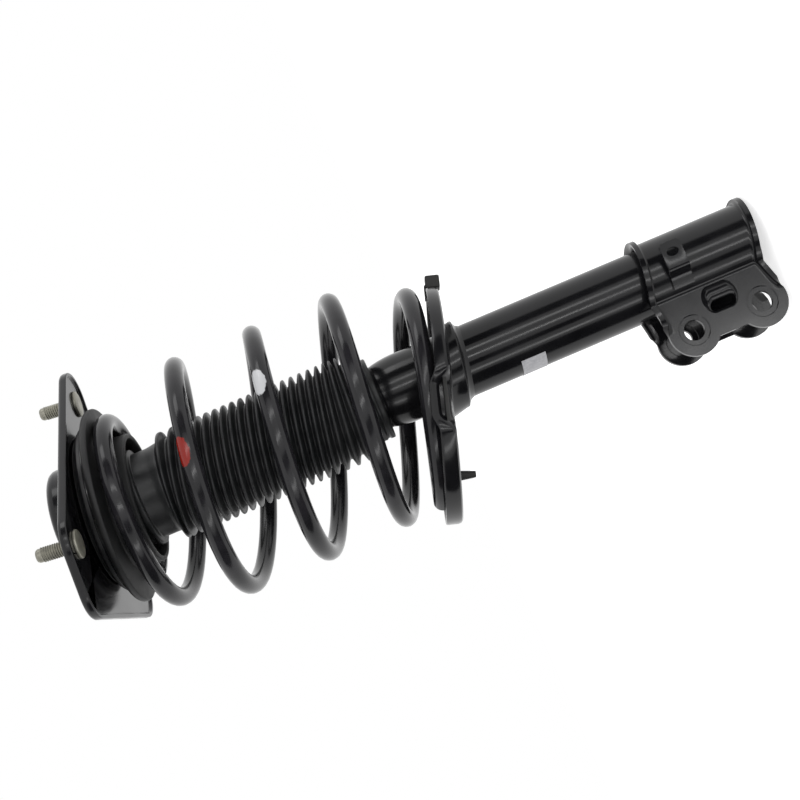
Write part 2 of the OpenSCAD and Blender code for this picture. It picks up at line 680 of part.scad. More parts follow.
mount_plate();
mount_cup();
mount_studs();
mount_rubber();
bearing_shell();
bearing_upper_race();
bearing_cage();
bearing_balls();
bearing_lower_race();
upper_spring_seat();
upper_spring_pad();
rod_washer();
rod_nut();
piston_rod();
rebound_stop();
piston();
piston_band();
piston_shims();
piston_nut();
bump_cup();
bump_stop();
dust_boot();
coil_spring();
strut_tube();
tube_end_cap();
pressure_tube();
base_valve();
rod_guide();
guide_bush();
rod_seal();
lower_spring_seat();
lower_spring_pad();
knuckle_bracket();
hose_bracket();
blank_label();
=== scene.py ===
import json
import math

import bmesh
import bpy
from mathutils import Matrix, Vector
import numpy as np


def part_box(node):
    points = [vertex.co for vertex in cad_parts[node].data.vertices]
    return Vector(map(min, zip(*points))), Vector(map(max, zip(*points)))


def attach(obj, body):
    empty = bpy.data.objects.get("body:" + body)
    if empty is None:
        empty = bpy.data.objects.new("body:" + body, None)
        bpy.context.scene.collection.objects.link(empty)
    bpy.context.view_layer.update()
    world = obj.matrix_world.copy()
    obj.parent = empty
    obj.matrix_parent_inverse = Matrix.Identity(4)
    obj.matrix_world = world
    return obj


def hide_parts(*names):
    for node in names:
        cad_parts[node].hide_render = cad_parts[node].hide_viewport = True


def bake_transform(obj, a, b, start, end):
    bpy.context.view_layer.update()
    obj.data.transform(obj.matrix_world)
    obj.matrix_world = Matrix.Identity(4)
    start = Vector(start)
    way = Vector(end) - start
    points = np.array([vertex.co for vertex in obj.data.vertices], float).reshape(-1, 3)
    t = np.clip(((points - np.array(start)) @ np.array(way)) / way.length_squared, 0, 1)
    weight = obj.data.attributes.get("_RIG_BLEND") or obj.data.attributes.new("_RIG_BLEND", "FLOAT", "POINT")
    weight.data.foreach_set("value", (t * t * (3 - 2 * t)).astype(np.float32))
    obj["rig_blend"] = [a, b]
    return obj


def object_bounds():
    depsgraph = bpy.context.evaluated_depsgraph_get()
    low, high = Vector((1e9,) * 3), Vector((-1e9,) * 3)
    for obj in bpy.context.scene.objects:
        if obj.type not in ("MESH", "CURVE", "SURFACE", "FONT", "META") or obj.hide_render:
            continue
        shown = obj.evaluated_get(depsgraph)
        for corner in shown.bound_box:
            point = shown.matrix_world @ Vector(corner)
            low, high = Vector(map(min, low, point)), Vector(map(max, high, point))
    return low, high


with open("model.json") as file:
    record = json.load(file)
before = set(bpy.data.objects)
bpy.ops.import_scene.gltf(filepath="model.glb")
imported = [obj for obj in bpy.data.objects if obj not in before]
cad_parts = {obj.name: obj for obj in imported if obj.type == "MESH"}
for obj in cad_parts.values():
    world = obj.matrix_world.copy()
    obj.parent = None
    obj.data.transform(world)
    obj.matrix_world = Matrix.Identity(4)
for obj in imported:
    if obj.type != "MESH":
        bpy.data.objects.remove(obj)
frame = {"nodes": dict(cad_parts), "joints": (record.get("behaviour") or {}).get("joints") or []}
cad_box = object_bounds()

# The camera stands off the side of the strut, a little towards the knuckle ears.
# It is rolled, so that the damper runs from the picture's lower left to its upper right.
MM = 0.001
strut_x = sum(corner.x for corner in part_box("strut_tube")) / 2 / MM
camera_lens = 55.91
camera_distance = 870
camera_turn = math.radians(-7.5)
camera_height = -199.1
camera_roll = math.radians(23.01)
aim_left, aim_height = 7.1, -227.4
aim = Vector((strut_x - aim_left, 0, aim_height))
around_z = Matrix.Rotation(camera_turn, 3, "Z")
stand = Vector((aim.x, aim.y, camera_height)) - around_z @ Vector((0, camera_distance, 0))
look = (aim - stand).normalized()
right = look.cross(around_z @ Vector((math.cos(camera_roll), 0, -math.sin(camera_roll)))).normalized()
camera_data = bpy.data.cameras.new("camera")
camera_data.lens = camera_lens
camera_data.clip_start = 0.01
camera = bpy.data.objects.new("camera", camera_data)
bpy.context.scene.collection.objects.link(camera)
turn = Matrix((right, right.cross(look), -look)).transposed().to_4x4()
camera.matrix_world = Matrix.Translation(stand * MM) @ turn
bpy.context.scene.camera = camera


# Mount plate: a deep-drawn steel plate that bolts under the car's tower, with a lobe round each stud,
# a plain fourth corner and a rim turned down all the way round. It is dipped in gloss black enamel.
mount_axis = Vector(next(j for j in frame["joints"] if j["name"] == "steering_swivel")["axis"])
mount_tilt = math.atan2(mount_axis.x, mount_axis.z)
mount_place = Matrix.Rotation(mount_tilt, 4, "Y")
stud_circle_r = 82.5
stud_turn = math.radians(12)
stud_angles = [stud_turn + math.radians(120) * i for i in range(3)]
lobe_r = 23.5
plate_t = 3
plate_rim = 6
plate_low = -4.6
plate_corner = Vector((-51, -69))
corner_steps = 24
cup_r = 36


def linear(text):
    """A colour written as sRGB hex, turned to the linear values that a shader takes."""
    parts = [int(text[i:i + 2], 16) / 255 for i in (1, 3, 5)]
    return (*[c / 12.92 if c <= 0.04045 else ((c + 0.055) / 1.055) ** 2.4 for c in parts], 1)


def feed(tree, node, inputs):
    """Fills a node's inputs. One given as a socket is linked, and any other value is set on it."""
    for name, value in inputs.items():
        if isinstance(value, bpy.types.NodeSocket):
            tree.links.new(value, node.inputs[name])
        else:
            node.inputs[name].default_value = value


def add(tree, kind, inputs={}, stops=(), **settings):
    """Adds one node with its inputs, its settings and the stops of its colour ramp."""
    node = tree.nodes.new("ShaderNode" + kind)
    for name, value in settings.items():
        setattr(node, name, value)
    for i, (place, shade) in enumerate(stops):
        node.color_ramp.elements[i].color = linear(shade)
        node.color_ramp.elements[i].position = place
    feed(tree, node, inputs)
    return node


def new_material(name):
    """An empty material: its node tree, its shader and its object coordinates."""
    material = bpy.data.materials.new(name)
    material.use_nodes = True
    tree = material.node_tree
    return material, tree, tree.nodes["Principled BSDF"], add(tree, "TexCoord").outputs["Object"]


def gloss_enamel():
    """Cathodic-dip enamel on pressed steel: near black and wet, with a faint orange peel and dull patches."""
    material, tree, shader, spot = new_material("gloss_enamel")
    peel_mm, patch_mm = 1.6, 30
    patches = add(tree, "TexNoise", {"Vector": spot, "Scale": 1000 / patch_mm, "Detail": 5})
    colour = add(tree, "ValToRGB", {"Fac": patches.outputs["Fac"]},
                 stops=((0.35, "#0c0c0e"), (0.7, "#131315")))
    dull = add(tree, "MapRange", {"Value": patches.outputs["Fac"], "From Min": 0.3, "From Max": 0.7,
                                  "To Min": 0.12, "To Max": 0.2})
    peel = add(tree, "TexNoise", {"Vector": spot, "Scale": 1000 / peel_mm, "Detail": 1})
    bump = add(tree, "Bump", {"Height": peel.outputs["Fac"], "Strength": 0.2, "Distance": 0.012 * MM})
    feed(tree, shader, {"Base Color": colour.outputs["Color"], "Roughness": dull.outputs["Result"],
                        "Normal": bump.outputs["Normal"], "IOR": 1.42})
    return material


def edge_loop(bm, points):
    """Closed loop of edges through the points."""
    verts = [bm.verts.new(p) for p in points]
    return [bm.edges.new(pair) for pair in zip(verts, verts[1:] + verts[:1])]


def skin(bm, loops):
    """Bridges each closed loop to the next one."""
    for near, far in zip(loops, loops[1:]):
        bmesh.ops.bridge_loops(bm, edges=near + far)


def circle_points(radius, height, count=96):
    """Points evenly round a level circle."""
    return [(radius * math.cos(a), radius * math.sin(a), height)
            for a in (2 * math.pi * i / count for i in range(count))]


def make_piece(bm, name, material, place, body, nodes, sharp=32):
    """Ends a piece: welds it, turns its faces outwards, puts it in its place in metres and on its body."""
    bmesh.ops.remove_doubles(bm, verts=bm.verts, dist=0.002)
    bmesh.ops.recalc_face_normals(bm, faces=bm.faces)
    mesh = bpy.data.meshes.new(name)
    bm.to_mesh(mesh)
    bm.free()
    mesh.transform(Matrix.Scale(MM, 4) @ place)
    mesh.shade_smooth()
    mesh.set_sharp_from_angle(angle=math.radians(sharp))
    mesh.materials.append(material)
    piece = bpy.data.objects.new(name, mesh)
    bpy.context.scene.collection.objects.link(piece)
    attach(piece, body)
    if nodes:
        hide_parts(*nodes)
    return piece


def plate_outline(radius, height):
    """An arc round each stud and round the fourth corner, joined by straight sides."""
    studs = [stud_circle_r * Vector((math.cos(a), math.sin(a))) for a in stud_angles]
    ways = []
    for near, far in ((studs[1], plate_corner), (plate_corner, studs[2])):
        ways.append(math.atan2(near.x - far.x, far.y - near.y) + 2 * math.pi)
    sixth = math.pi / 3
    arcs = [(studs[0], stud_turn - sixth, stud_turn + sixth), (studs[1], stud_turn + sixth, ways[0]),
            (plate_corner, ways[0], ways[1]), (studs[2], ways[1], stud_turn + 5 * sixth)]
    points = []
    for middle, start, end in arcs:
        for step in range(corner_steps):
            a = start + (end - start) * step / (corner_steps - 1)
            points.append((middle.x + radius * math.cos(a), middle.y + radius * math.sin(a), height))
    return points


enamel = gloss_enamel()
bm = bmesh.new()
bend = 2.6
edge_round = 0.6
flat_inset = 5.5
# From the flat face out over the bend, round the rim and back to the underside, as inset and height
rim_section = [(flat_inset, 0), (bend, 0), (bend * 0.5, -bend * 0.13), (bend * 0.13, -bend * 0.5), (0, -bend),
               (0, -plate_rim + edge_round), (edge_round, -plate_rim), (plate_t - edge_round, -plate_rim),
               (plate_t, -plate_rim + edge_round), (plate_t + 0.2, plate_low - 0.4),
               (plate_t + 0.8, plate_low), (flat_inset, plate_low)]
loops = [edge_loop(bm, plate_outline(lobe_r - inset, height)) for inset, height in rim_section]
holes = [edge_loop(bm, circle_points(cup_r, height, 4 * corner_steps)) for height in (plate_low, 0)]
skin(bm, [*loops, *holes, loops[0]])
make_piece(bm, "tower_plate", enamel, mount_place, "top_mount", ["mount_plate"])


# Cup: a drawn steel cap that stands through the plate and holds the rubber, with a wide mouth for the nut.
# Its flange is spot welded under the plate, and it has the same enamel.
def add_part(bm, part):
    """Moves a finished part's mesh into the piece."""
    mesh = bpy.data.meshes.new("part")
    part.to_mesh(mesh)
    part.free()
    bm.from_mesh(mesh)
    bpy.data.meshes.remove(mesh)


def turned(bm, outline, steps=96, segments=4):
    """Adds a turned body. The outline goes once round its section as radius, height and corner rounding."""
    part = bmesh.new()
    corners = [part.verts.new((radius, 0, height)) for radius, height, _ in outline]
    part.faces.new(corners)
    for rounding in sorted({corner[2] for corner in outline} - {0}):
        chosen = [v for v, corner in zip(corners, outline) if corner[2] == rounding]
        bmesh.ops.bevel(part, geom=chosen, offset=rounding, offset_type="OFFSET", segments=segments,
                        profile=0.5, affect="VERTICES", material=-1, clamp_overlap=True)
    bmesh.ops.delete(part, geom=list(part.faces), context="FACES_ONLY")
    on_axis = [e for e in part.edges if all(abs(v.co.x) < 1e-5 for v in e.verts)]
    bmesh.ops.delete(part, geom=on_axis, context="EDGES")
    bmesh.ops.spin(part, geom=list(part.verts) + list(part.edges), axis=(0, 0, 1), cent=(0, 0, 0),
                   angle=2 * math.pi, steps=steps, use_merge=True)
    bmesh.ops.remove_doubles(part, verts=part.verts, dist=0.001)
    add_part(bm, part)


cup_h = 21
cup_t = 2.5
cup_mouth_r = 21
flange_r = cup_r + 11
bm = bmesh.new()
turned(bm, [(cup_mouth_r, cup_h - cup_t, 0.8), (cup_mouth_r, cup_h, 0.8), (cup_r, cup_h, 6),
            (cup_r, -plate_t, 1), (flange_r, -plate_t, 0.5), (flange_r, -plate_t - cup_t, 0.5),
            (cup_r - cup_t, -plate_t - cup_t, 2.5), (cup_r - cup_t, cup_h - cup_t, 3.6)])
make_piece(bm, "tower_cup", enamel, mount_place, "top_mount", ["mount_cup"])


# Studs: three M10 studs with flat round heads, pressed up through the plate from below.
# They are zinc plated and passivated to a pale straw colour, and the threads are rolled.
def zinc_plate(name, dark, pale, cloud_mm, detail, metallic, roughness):
    """Zinc plate: a soft metal sheen whose tint drifts in small clouds, as the passivation left it."""
    material, tree, shader, spot = new_material(name)
    clouds = add(tree, "TexNoise", {"Vector": spot, "Scale": 1000 / cloud_mm, "Detail": detail})
    colour = add(tree, "ValToRGB", {"Fac": clouds.outputs["Fac"]}, stops=((0.35, dark), (0.65, pale)))
    feed(tree, shader, {"Base Color": colour.outputs["Color"], "Metallic": metallic, "Roughness": roughness})
    return material


def threaded(bm, radius, low, high, pitch, depth=0.7, lead=0.6, steps=36):
    """Adds a rolled thread: a zigzag section that climbs one pitch in a turn, with a coned end."""
    part = bmesh.new()
    count = int((high - low) / pitch)
    line = [part.verts.new((radius - depth * (i % 2), 0, low + pitch * i / 2)) for i in range(2 * count)]
    for pair in zip(line, line[1:]):
        part.edges.new(pair)
    bmesh.ops.spin(part, geom=list(part.verts) + list(part.edges), axis=(0, 0, 1), cent=(0, 0, 0),
                   dvec=(0, 0, pitch / steps), angle=2 * math.pi, steps=steps, use_merge=False)
    bmesh.ops.remove_doubles(part, verts=part.verts, dist=0.02)
    bmesh.ops.recalc_face_normals(part, faces=part.faces)
    add_part(bm, part)
    core = radius - depth
    turned(bm, [(0, low - 1, 0), (core, low - 1, 0), (core, high + lead - 1.4, 0.6),
                (core - 1, high + lead, 0.5), (0, high + lead, 0)], steps=steps)


zinc = zinc_plate("straw_zinc", "#86847a", "#a19f92", 9, 2, 0.7, 0.42)
stud_r = 5
stud_len = 22
stud_lead = 3
coarse_pitch = 1.5
head_r = 9.5
head_t = 3
bm = bmesh.new()
head_low = plate_low - head_t + 0.6
turned(bm, [(0, head_low, 0), (head_r - 3, head_low, 0.5), (head_r, head_low + 0.6, 0.8),
            (head_r, plate_low, 0.3), (stud_r + 0.6, plate_low, 0), (stud_r + 0.6, 0.6, 0.5),
            (stud_r, 1, 0), (stud_r, 3, 0.4), (0, 3, 0)], steps=48)
threaded(bm, stud_r, 1.6, stud_len - stud_lead, coarse_pitch, depth=0.5, lead=stud_lead)
stud = bpy.data.meshes.new("stud")
bm.to_mesh(stud)
bm.free()
bm = bmesh.new()
for angle in stud_angles:
    bm.from_mesh(stud)
    made = bm.verts[-len(stud.vertices):]
    place = stud_circle_r * Vector((math.cos(angle), math.sin(angle), 0))
    bmesh.ops.translate(bm, verts=made, vec=place)
bpy.data.meshes.remove(stud)
make_piece(bm, "tower_studs", zinc, mount_place, "top_mount", ["mount_studs"], sharp=50)


# Rubber: a block moulded inside the cup, with a wide foot that the bearing's shell presses on.
# It is natural rubber on a steel mandrel, dull black and a little dusty.
def moulded_rubber(name, dark, pale, shine, grain_mm, depth_mm):
    """Moulded rubber: a dull skin with a fine grain, and paler patches where dust and release agent lie."""
    material, tree, shader, spot = new_material(name)
    bloom_mm = 22
    bloom = add(tree, "TexNoise", {"Vector": spot, "Scale": 1000 / bloom_mm, "Detail": 6, "Roughness": 0.6})
    colour = add(tree, "ValToRGB", {"Fac": bloom.outputs["Fac"]}, stops=((0.4, dark), (0.75, pale)))
    dull = add(tree, "MapRange", {"Value": bloom.outputs["Fac"], "From Min": 0.3, "From Max": 0.7,
                                  "To Min": shine, "To Max": shine + 0.15})
    grain = add(tree, "TexNoise", {"Vector": spot, "Scale": 1000 / grain_mm, "Detail": 3})
    bump = add(tree, "Bump", {"Height": grain.outputs["Fac"], "Strength": 0.4, "Distance": depth_mm * MM})
    feed(tree, shader, {"Base Color": colour.outputs["Color"], "Roughness": dull.outputs["Result"],
                        "Normal": bump.outputs["Normal"], "IOR": 1.4})
    return material


mount_rubber = moulded_rubber("mount_rubber", "#121213", "#1f1f20", 0.45, 1.2, 0.05)
fit_gap = 0.05
rubber_bore = 24
rubber_r = 53
cup_flange = -plate_t - cup_t
rubber_low = cup_flange - 3
bm = bmesh.new()
turned(bm, [(rubber_bore, rubber_low, 1), (rubber_bore, cup_h - cup_t - 3, 1.5),
            (cup_r - cup_t - fit_gap, cup_h - cup_t - 3, 2.5), (cup_r - cup_t - fit_gap, cup_flange, 0.3),
            (rubber_r, cup_flange, 0.6), (rubber_r, cup_flange - 1, 0.3),
            (rubber_r - 0.8, cup_flange - 1.3, 0.2), (rubber_r - 0.8, cup_flange - 1.7, 0.2),
            (rubber_r, cup_flange - 2, 0.3), (rubber_r, rubber_low, 0.6)])
make_piece(bm, "mount_block", mount_rubber, mount_place, "top_mount", ["mount_rubber"])


# Bearing: a thin ball bearing that lets the spring turn when the wheel is steered.
# Its shell is moulded in glass-filled nylon and has a skirt that keeps spray off the balls.
def moulded_nylon(name, dark, pale, shine):
    """Moulded nylon: an even satin skin with the faint mottle of the glass in it."""
    material, tree, shader, spot = new_material(name)
    mottle_mm = 4
    mottle = add(tree, "TexNoise", {"Vector": spot, "Scale": 1000 / mottle_mm, "Detail": 4})
    colour = add(tree, "ValToRGB", {"Fac": mottle.outputs["Fac"]}, stops=((0.4, dark), (0.65, pale)))
    bump = add(tree, "Bump", {"Height": mottle.outputs["Fac"], "Strength": 0.3, "Distance": 0.02 * MM})
    feed(tree, shader, {"Base Color": colour.outputs["Color"], "Normal": bump.outputs["Normal"],
                        "Roughness": shine})
    return material


def worked_metal(name, dark, pale, roughness, line_mm):
    """Machined or ground metal: fine lines round the part's axis."""
    material, tree, shader, spot = new_material(name)
    along = add(tree, "Mapping", {"Vector": spot, "Scale": (60, 60, 1000 / line_mm)})
    lines = add(tree, "TexNoise", {"Vector": along.outputs["Vector"], "Scale": 1, "Detail": 3})
    colour = add(tree, "ValToRGB", {"Fac": lines.outputs["Fac"]}, stops=((0.35, dark), (0.65, pale)))
    bump = add(tree, "Bump", {"Height": lines.outputs["Fac"], "Strength": 0.2, "Distance": 0.01 * MM})
    feed(tree, shader, {"Base Color": colour.outputs["Color"], "Normal": bump.outputs["Normal"],
                        "Metallic": 1, "Roughness": roughness})
    return material


def finish_node(name, material):
    """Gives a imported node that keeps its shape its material."""
    node = frame["nodes"][name]
    node.data.materials.clear()
    node.data.materials.append(material)


shell_nylon = moulded_nylon("glass_filled_nylon", "#121315", "#1d1d1f", 0.4)
shell_r = 59
shell_t = 2
shell_low = rubber_low - shell_t
skirt_low = shell_low - 6
ball_circle_r = 52
race_half = 5
bm = bmesh.new()
turned(bm, [(ball_circle_r - race_half, shell_low, 0.3), (ball_circle_r - race_half, rubber_low, 0.6),
            (shell_r - 2, rubber_low, 0.5), (shell_r - 1.2, rubber_low - 1.4, 0.5),
            (shell_r, rubber_low - 1.8, 0.6), (shell_r, skirt_low, 0.5), (shell_r - 1.8, skirt_low, 0.5),
            (shell_r - 1.8, shell_low, 0.3)], steps=128)
make_piece(bm, "bearing_cover", shell_nylon, mount_place, "top_mount", ["bearing_shell"])

ground_steel = worked_metal("ground_bearing_steel", "#a9aaae", "#c2c3c6", 0.18, 0.4)
cage_nylon = moulded_nylon("natural_nylon", "#d6cfb6", "#e2dcc6", 0.4)
for node in ("bearing_upper_race", "bearing_lower_race", "bearing_balls"):
    finish_node(node, ground_steel)
finish_node("bearing_cage", cage_nylon)


# Upper spring seat: a pressed steel ring under the bearing, with a turned-up edge and a welded hub.
# The rod's nut clamps the hub, so that the seat, the rod and the spring turn together.
strut_place = Matrix.Translation((strut_x, 0, 0))
seat_top = -16.9
upper_seat_r = 63
upper_seat_t = 2.6
hub_top = -10
hub_low = -24
hub_r = 16
thread_r = 7
bm = bmesh.new()
turned(bm, [(hub_r - 4, seat_top - upper_seat_t, 0.4), (hub_r - 4, seat_top, 0.4),
            (upper_seat_r - 2, seat_top, 1), (upper_seat_r - 2, seat_top + 3, 0.6),
            (upper_seat_r, seat_top + 3, 0.6), (upper_seat_r, seat_top - upper_seat_t, 2)], steps=128)
bmesh.ops.transform(bm, matrix=mount_place, verts=bm.verts)
hub = bmesh.new()
turned(hub, [(thread_r + fit_gap, hub_low, 0.4), (thread_r + fit_gap, hub_top, 0.6), (hub_r, hub_top, 1.5),
             (hub_r, hub_low, 1.2)])
bmesh.ops.transform(hub, matrix=strut_place, verts=hub.verts)
add_part(bm, hub)
make_piece(bm, "upper_seat_pressing", enamel, Matrix(), "spring_top", ["upper_spring_seat"])


# Upper spring pad: a moulded rubber ring snapped over the seat's edge.
# Its collar centres the spring's small top coil.
pad_top = seat_top - upper_seat_t
pad_low = pad_top - 2
upper_pad_r = 69.5
collar_r = 46
collar_low = pad_top - 20
bm = bmesh.new()
turned(bm, [(collar_r - 3.5, collar_low, 1), (collar_r - 3.5, pad_top, 0.6),
            (upper_seat_r + fit_gap, pad_top, 0.3), (upper_seat_r + fit_gap, pad_top + 3.5, 0.8),
            (upper_pad_r - 2, pad_top + 3.5, 1.4), (upper_pad_r, pad_top + 1, 1),
            (upper_pad_r, pad_low, 1.2), (collar_r, pad_low, 1.5), (collar_r, collar_low, 1.6)], steps=128)
make_piece(bm, "upper_pad_ring", mount_rubber, mount_place, "spring_top",
           ["upper_spring_pad"])


# Rod nut and washer: an M14 flange-free lock nut on a thick hardened washer, bright zinc plated.
bright = zinc_plate("bright_zinc", "#aeb1b4", "#c5c8ca", 5, 4, 1, 0.3)
washer_r = 15
washer_t = 2.5
bm = bmesh.new()
turned(bm, [(thread_r + fit_gap, hub_top, 0.2), (thread_r + fit_gap, hub_top + washer_t, 0.3),
            (washer_r, hub_top + washer_t, 0.6), (washer_r, hub_top, 0.4)])
make_piece(bm, "thick_washer", bright, strut_place, "spring_top", ["rod_washer"])

nut_af = 22
nut_low = hub_top + washer_t
nut_h = 11
nut_corner = nut_af / 2 / math.cos(math.radians(30))
nut_chamfer = 0.9
nut_steps = 72


def nut_loop(bm, inset, height):
    """One loop round the nut: its six flats, cut off at the corners by a circle."""
    points = []
    for x, y, z in circle_points(1, nut_low + height, nut_steps):
        off_flat = (math.atan2(y, x) + math.pi / 6) % (math.pi / 3) - math.pi / 6
        reach = min(nut_corner - inset, nut_af / 2 / math.cos(off_flat))
        points.append((x * reach, y * reach, z))
    return edge_loop(bm, points)


bm = bmesh.new()
outside = [nut_loop(bm, inset, height) for inset, height in (
    (1.6, 0), (0.1, nut_chamfer), (0.1, nut_h - nut_chamfer), (1.6, nut_h))]
bore = [edge_loop(bm, circle_points(thread_r + fit_gap + widening, nut_low + height, nut_steps))
        for widening, height in ((nut_chamfer, nut_h), (0, nut_h - nut_chamfer), (0, nut_chamfer),
                                 (nut_chamfer, 0))]
skin(bm, [*outside, *bore, outside[0]])
make_piece(bm, "lock_nut", bright, strut_place, "spring_top", ["rod_nut"], sharp=25)


# Piston rod: ground, hard chromed steel, with a threaded tip for the nut and a threaded end for the piston.
rod_r = 11
rod_shoulder = -26
rod_tip = 7.5
piston_top = -262.5
rod_low = -296.9
bm = bmesh.new()
turned(bm, [(0, rod_low, 0), (thread_r, rod_low, 0.8), (thread_r, piston_top, 0),
            (rod_r, piston_top, 0.4), (rod_r, rod_shoulder, 0.8), (thread_r, rod_shoulder, 0),
            (thread_r, nut_low, 0), (0, nut_low, 0)], steps=64)
threaded(bm, thread_r, nut_low + 0.5, rod_tip - 0.6, coarse_pitch)
chrome = worked_metal("hard_chrome", "#b9bbc0", "#cbcdd1", 0.08, 0.3)
make_piece(bm, "chromed_rod", chrome, strut_place, "spring_top", ["piston_rod"], sharp=50)


# Inner works of the damper: turned, sintered and ground parts that oil wets. They keep their solid shapes.
def pitted(name, dark, pale, cell_mm, wall_at, strength, depth_mm, metallic, roughness):
    """A body full of small pores: dark in the pores and pale on the walls between them."""
    material, tree, shader, spot = new_material(name)
    cells = add(tree, "TexVoronoi", {"Vector": spot, "Scale": 1000 / cell_mm})
    colour = add(tree, "ValToRGB", {"Fac": cells.outputs["Distance"]}, stops=((0, dark), (wall_at, pale)))
    bump = add(tree, "Bump", {"Height": cells.outputs["Distance"], "Strength": strength,
                              "Distance": depth_mm * MM})
    feed(tree, shader, {"Base Color": colour.outputs["Color"], "Normal": bump.outputs["Normal"],
                        "Metallic": metallic, "Roughness": roughness})
    return material


# Sintered iron is grey, open grained and damp with oil.
iron = pitted("sintered_iron", "#4c4d4f", "#8a8c8e", 0.8, 0.5, 0.3, 0.03, 1, 0.45)
drawn_steel = worked_metal("drawn_steel", "#96999d", "#b0b3b7", 0.28, 0.6)
bronze = worked_metal("bearing_bronze", "#9c7442", "#b48a52", 0.3, 0.5)
filled_ptfe = moulded_nylon("filled_ptfe", "#26342f", "#33423c", 0.45)
for node, material in (("piston", iron), ("base_valve", iron), ("rod_guide", iron),
                       ("piston_band", filled_ptfe), ("piston_shims", drawn_steel),
                       ("pressure_tube", drawn_steel), ("piston_nut", bright), ("guide_bush", bronze),
                       ("rebound_stop", mount_rubber), ("rod_seal", mount_rubber)):
    finish_node(node, material)


# Bump cup and bump stop: a pressed cup on the rod's shoulder holds a spring of foamed polyurethane,
# whose waists let it crush in steps before the damper is fully shut.
bump_cup_r = 30.5
bump_cup_t = 2
bump_cup_h = 14
bm = bmesh.new()
turned(bm, [(thread_r + fit_gap, rod_shoulder, 0.3), (thread_r + fit_gap, hub_low, 0.3),
            (bump_cup_r, hub_low, 2.5), (bump_cup_r, hub_low - bump_cup_h, 0.6),
            (bump_cup_r - bump_cup_t, hub_low - bump_cup_h, 0.6),
            (bump_cup_r - bump_cup_t, rod_shoulder, 1)])
make_piece(bm, "bump_stop_cup", enamel, strut_place, "spring_top", ["bump_cup"])

bump_len = 62
bump_in = rod_r + 0.3
bump_r = 24
# Inset, share of the length and rounding, from the tip up over the waists
bump_line = [(9, 0, 2), (7, 0.12, 2), (6, 0.22, 2), (10, 0.30, 1.5), (5, 0.38, 2.5), (4, 0.50, 2.5),
             (8, 0.58, 1.5), (0, 0.68, 3), (0, 1, 1)]
bump_low = rod_shoulder - bump_len
bm = bmesh.new()
turned(bm, [(bump_in, bump_low, 1),
            *[(bump_r - inset, bump_low + bump_len * share, rounding)
              for inset, share, rounding in bump_line],
            (bump_in, rod_shoulder, 0.5)])
# Cellular polyurethane has a tan skin, pitted with small closed cells.
foam = pitted("foamed_urethane", "#8d7440", "#c0a768", 1.2, 0.4, 0.6, 0.15, 0, 0.75)
make_piece(bm, "foam_bump_stop", foam, strut_place, "spring_top", ["bump_stop"])


# Gaiter: a blow-moulded rubber sleeve that keeps grit off the rod. Its collar grips the bump cup, its cuff
# sits on the tube, and its ribs lean with the top mount until they near the cuff.
boot_top = rod_shoulder - 2
boot_flange = -38
boot_neck = -52
tube_top = -210
boot_cuff = tube_top + 4
boot_low = tube_top - 5
rib_count = 23
rib_top = boot_neck - 4
fold = boot_cuff + 3
rib_pitch = (rib_top - fold) / rib_count
rib_r = 38
valley_r = 32
wall = 2
boot_in = bump_cup_r + 0.3
neck_r = 31
cuff_r = 29.5
cuff_in = 25.4
rib_lean = math.tan(math.radians(11))
lean_in, lean_out = 14, 34


def rib_line(inset, ridge, valley):
    """Section of the ribs, from the top down: thin rounded ridges with wider valleys between them."""
    line = []
    for i in range(rib_count):
        high = rib_top - i * rib_pitch
        line += [(valley_r - inset, high, valley), (valley_r - inset, high - 0.2 * rib_pitch, valley),
                 (rib_r - inset, high - 0.48 * rib_pitch, ridge),
                 (rib_r - inset, high - 0.72 * rib_pitch, ridge)]
    return line


bm = bmesh.new()
turned(bm, [(boot_in + 2.2, boot_top, 0.6), (boot_in + 2.2, boot_flange + 2, 0.4),
            (35, boot_flange + 2, 0.8), (35, boot_flange - 2, 0.8), (neck_r, boot_flange - 2, 0.8),
            (neck_r, boot_neck, 1.5), *rib_line(0, 0.6, 0.5), (valley_r, fold, 0.5),
            (cuff_r, boot_cuff, 1), (cuff_r, boot_cuff - 3, 0.4), (cuff_r - 0.9, boot_cuff - 3.6, 0.3),
            (cuff_r - 0.9, boot_cuff - 5, 0.3), (cuff_r, boot_cuff - 5.6, 0.4), (cuff_r, boot_low, 0.8),
            (cuff_in, boot_low, 0.5), (cuff_in, boot_cuff, 0.5), (valley_r - wall, fold, 0.4),
            *reversed(rib_line(wall, 0.4, 0.4)), (neck_r - wall, boot_neck, 1),
            (neck_r - wall, boot_flange - 1.5, 0.5), (boot_in, boot_flange - 1.5, 0.4),
            (boot_in, boot_top, 0.6)], steps=96, segments=2)


def boot_shear(x, height):
    """How far the lean lifts a point of the gaiter at a given height before it leans."""
    start = min(1, max(0, (boot_neck - height) / lean_in))
    end = min(1, max(0, (height - boot_cuff) / lean_out))
    return -x * rib_lean * start * end * end * (3 - 2 * end)


bmesh.ops.remove_doubles(bm, verts=bm.verts, dist=0.002)
upright = bm.verts.layers.float.new("upright")
for v in bm.verts:
    v[upright] = v.co.z
    v.co.z += boot_shear(v.co.x, v.co.z)
boot_rubber = moulded_rubber("gaiter_rubber", "#191a1b", "#282829", 0.3, 1.0, 0.04)
gaiter = make_piece(bm, "ribbed_gaiter", boot_rubber, strut_place, "spring_top",
                    ["dust_boot"], sharp=60)


def stretch(piece, shares):
    """Lets a piece stretch between rod and tube. Each point's share is how far it follows the tube."""
    piece.parent = None
    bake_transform(piece, "spring_top", "strut_body", start=(strut_x * MM, 0, -0.05),
             end=(strut_x * MM, 0, -0.22))
    for item, share in zip(piece.data.attributes["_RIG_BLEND"].data, shares):
        item.value = share


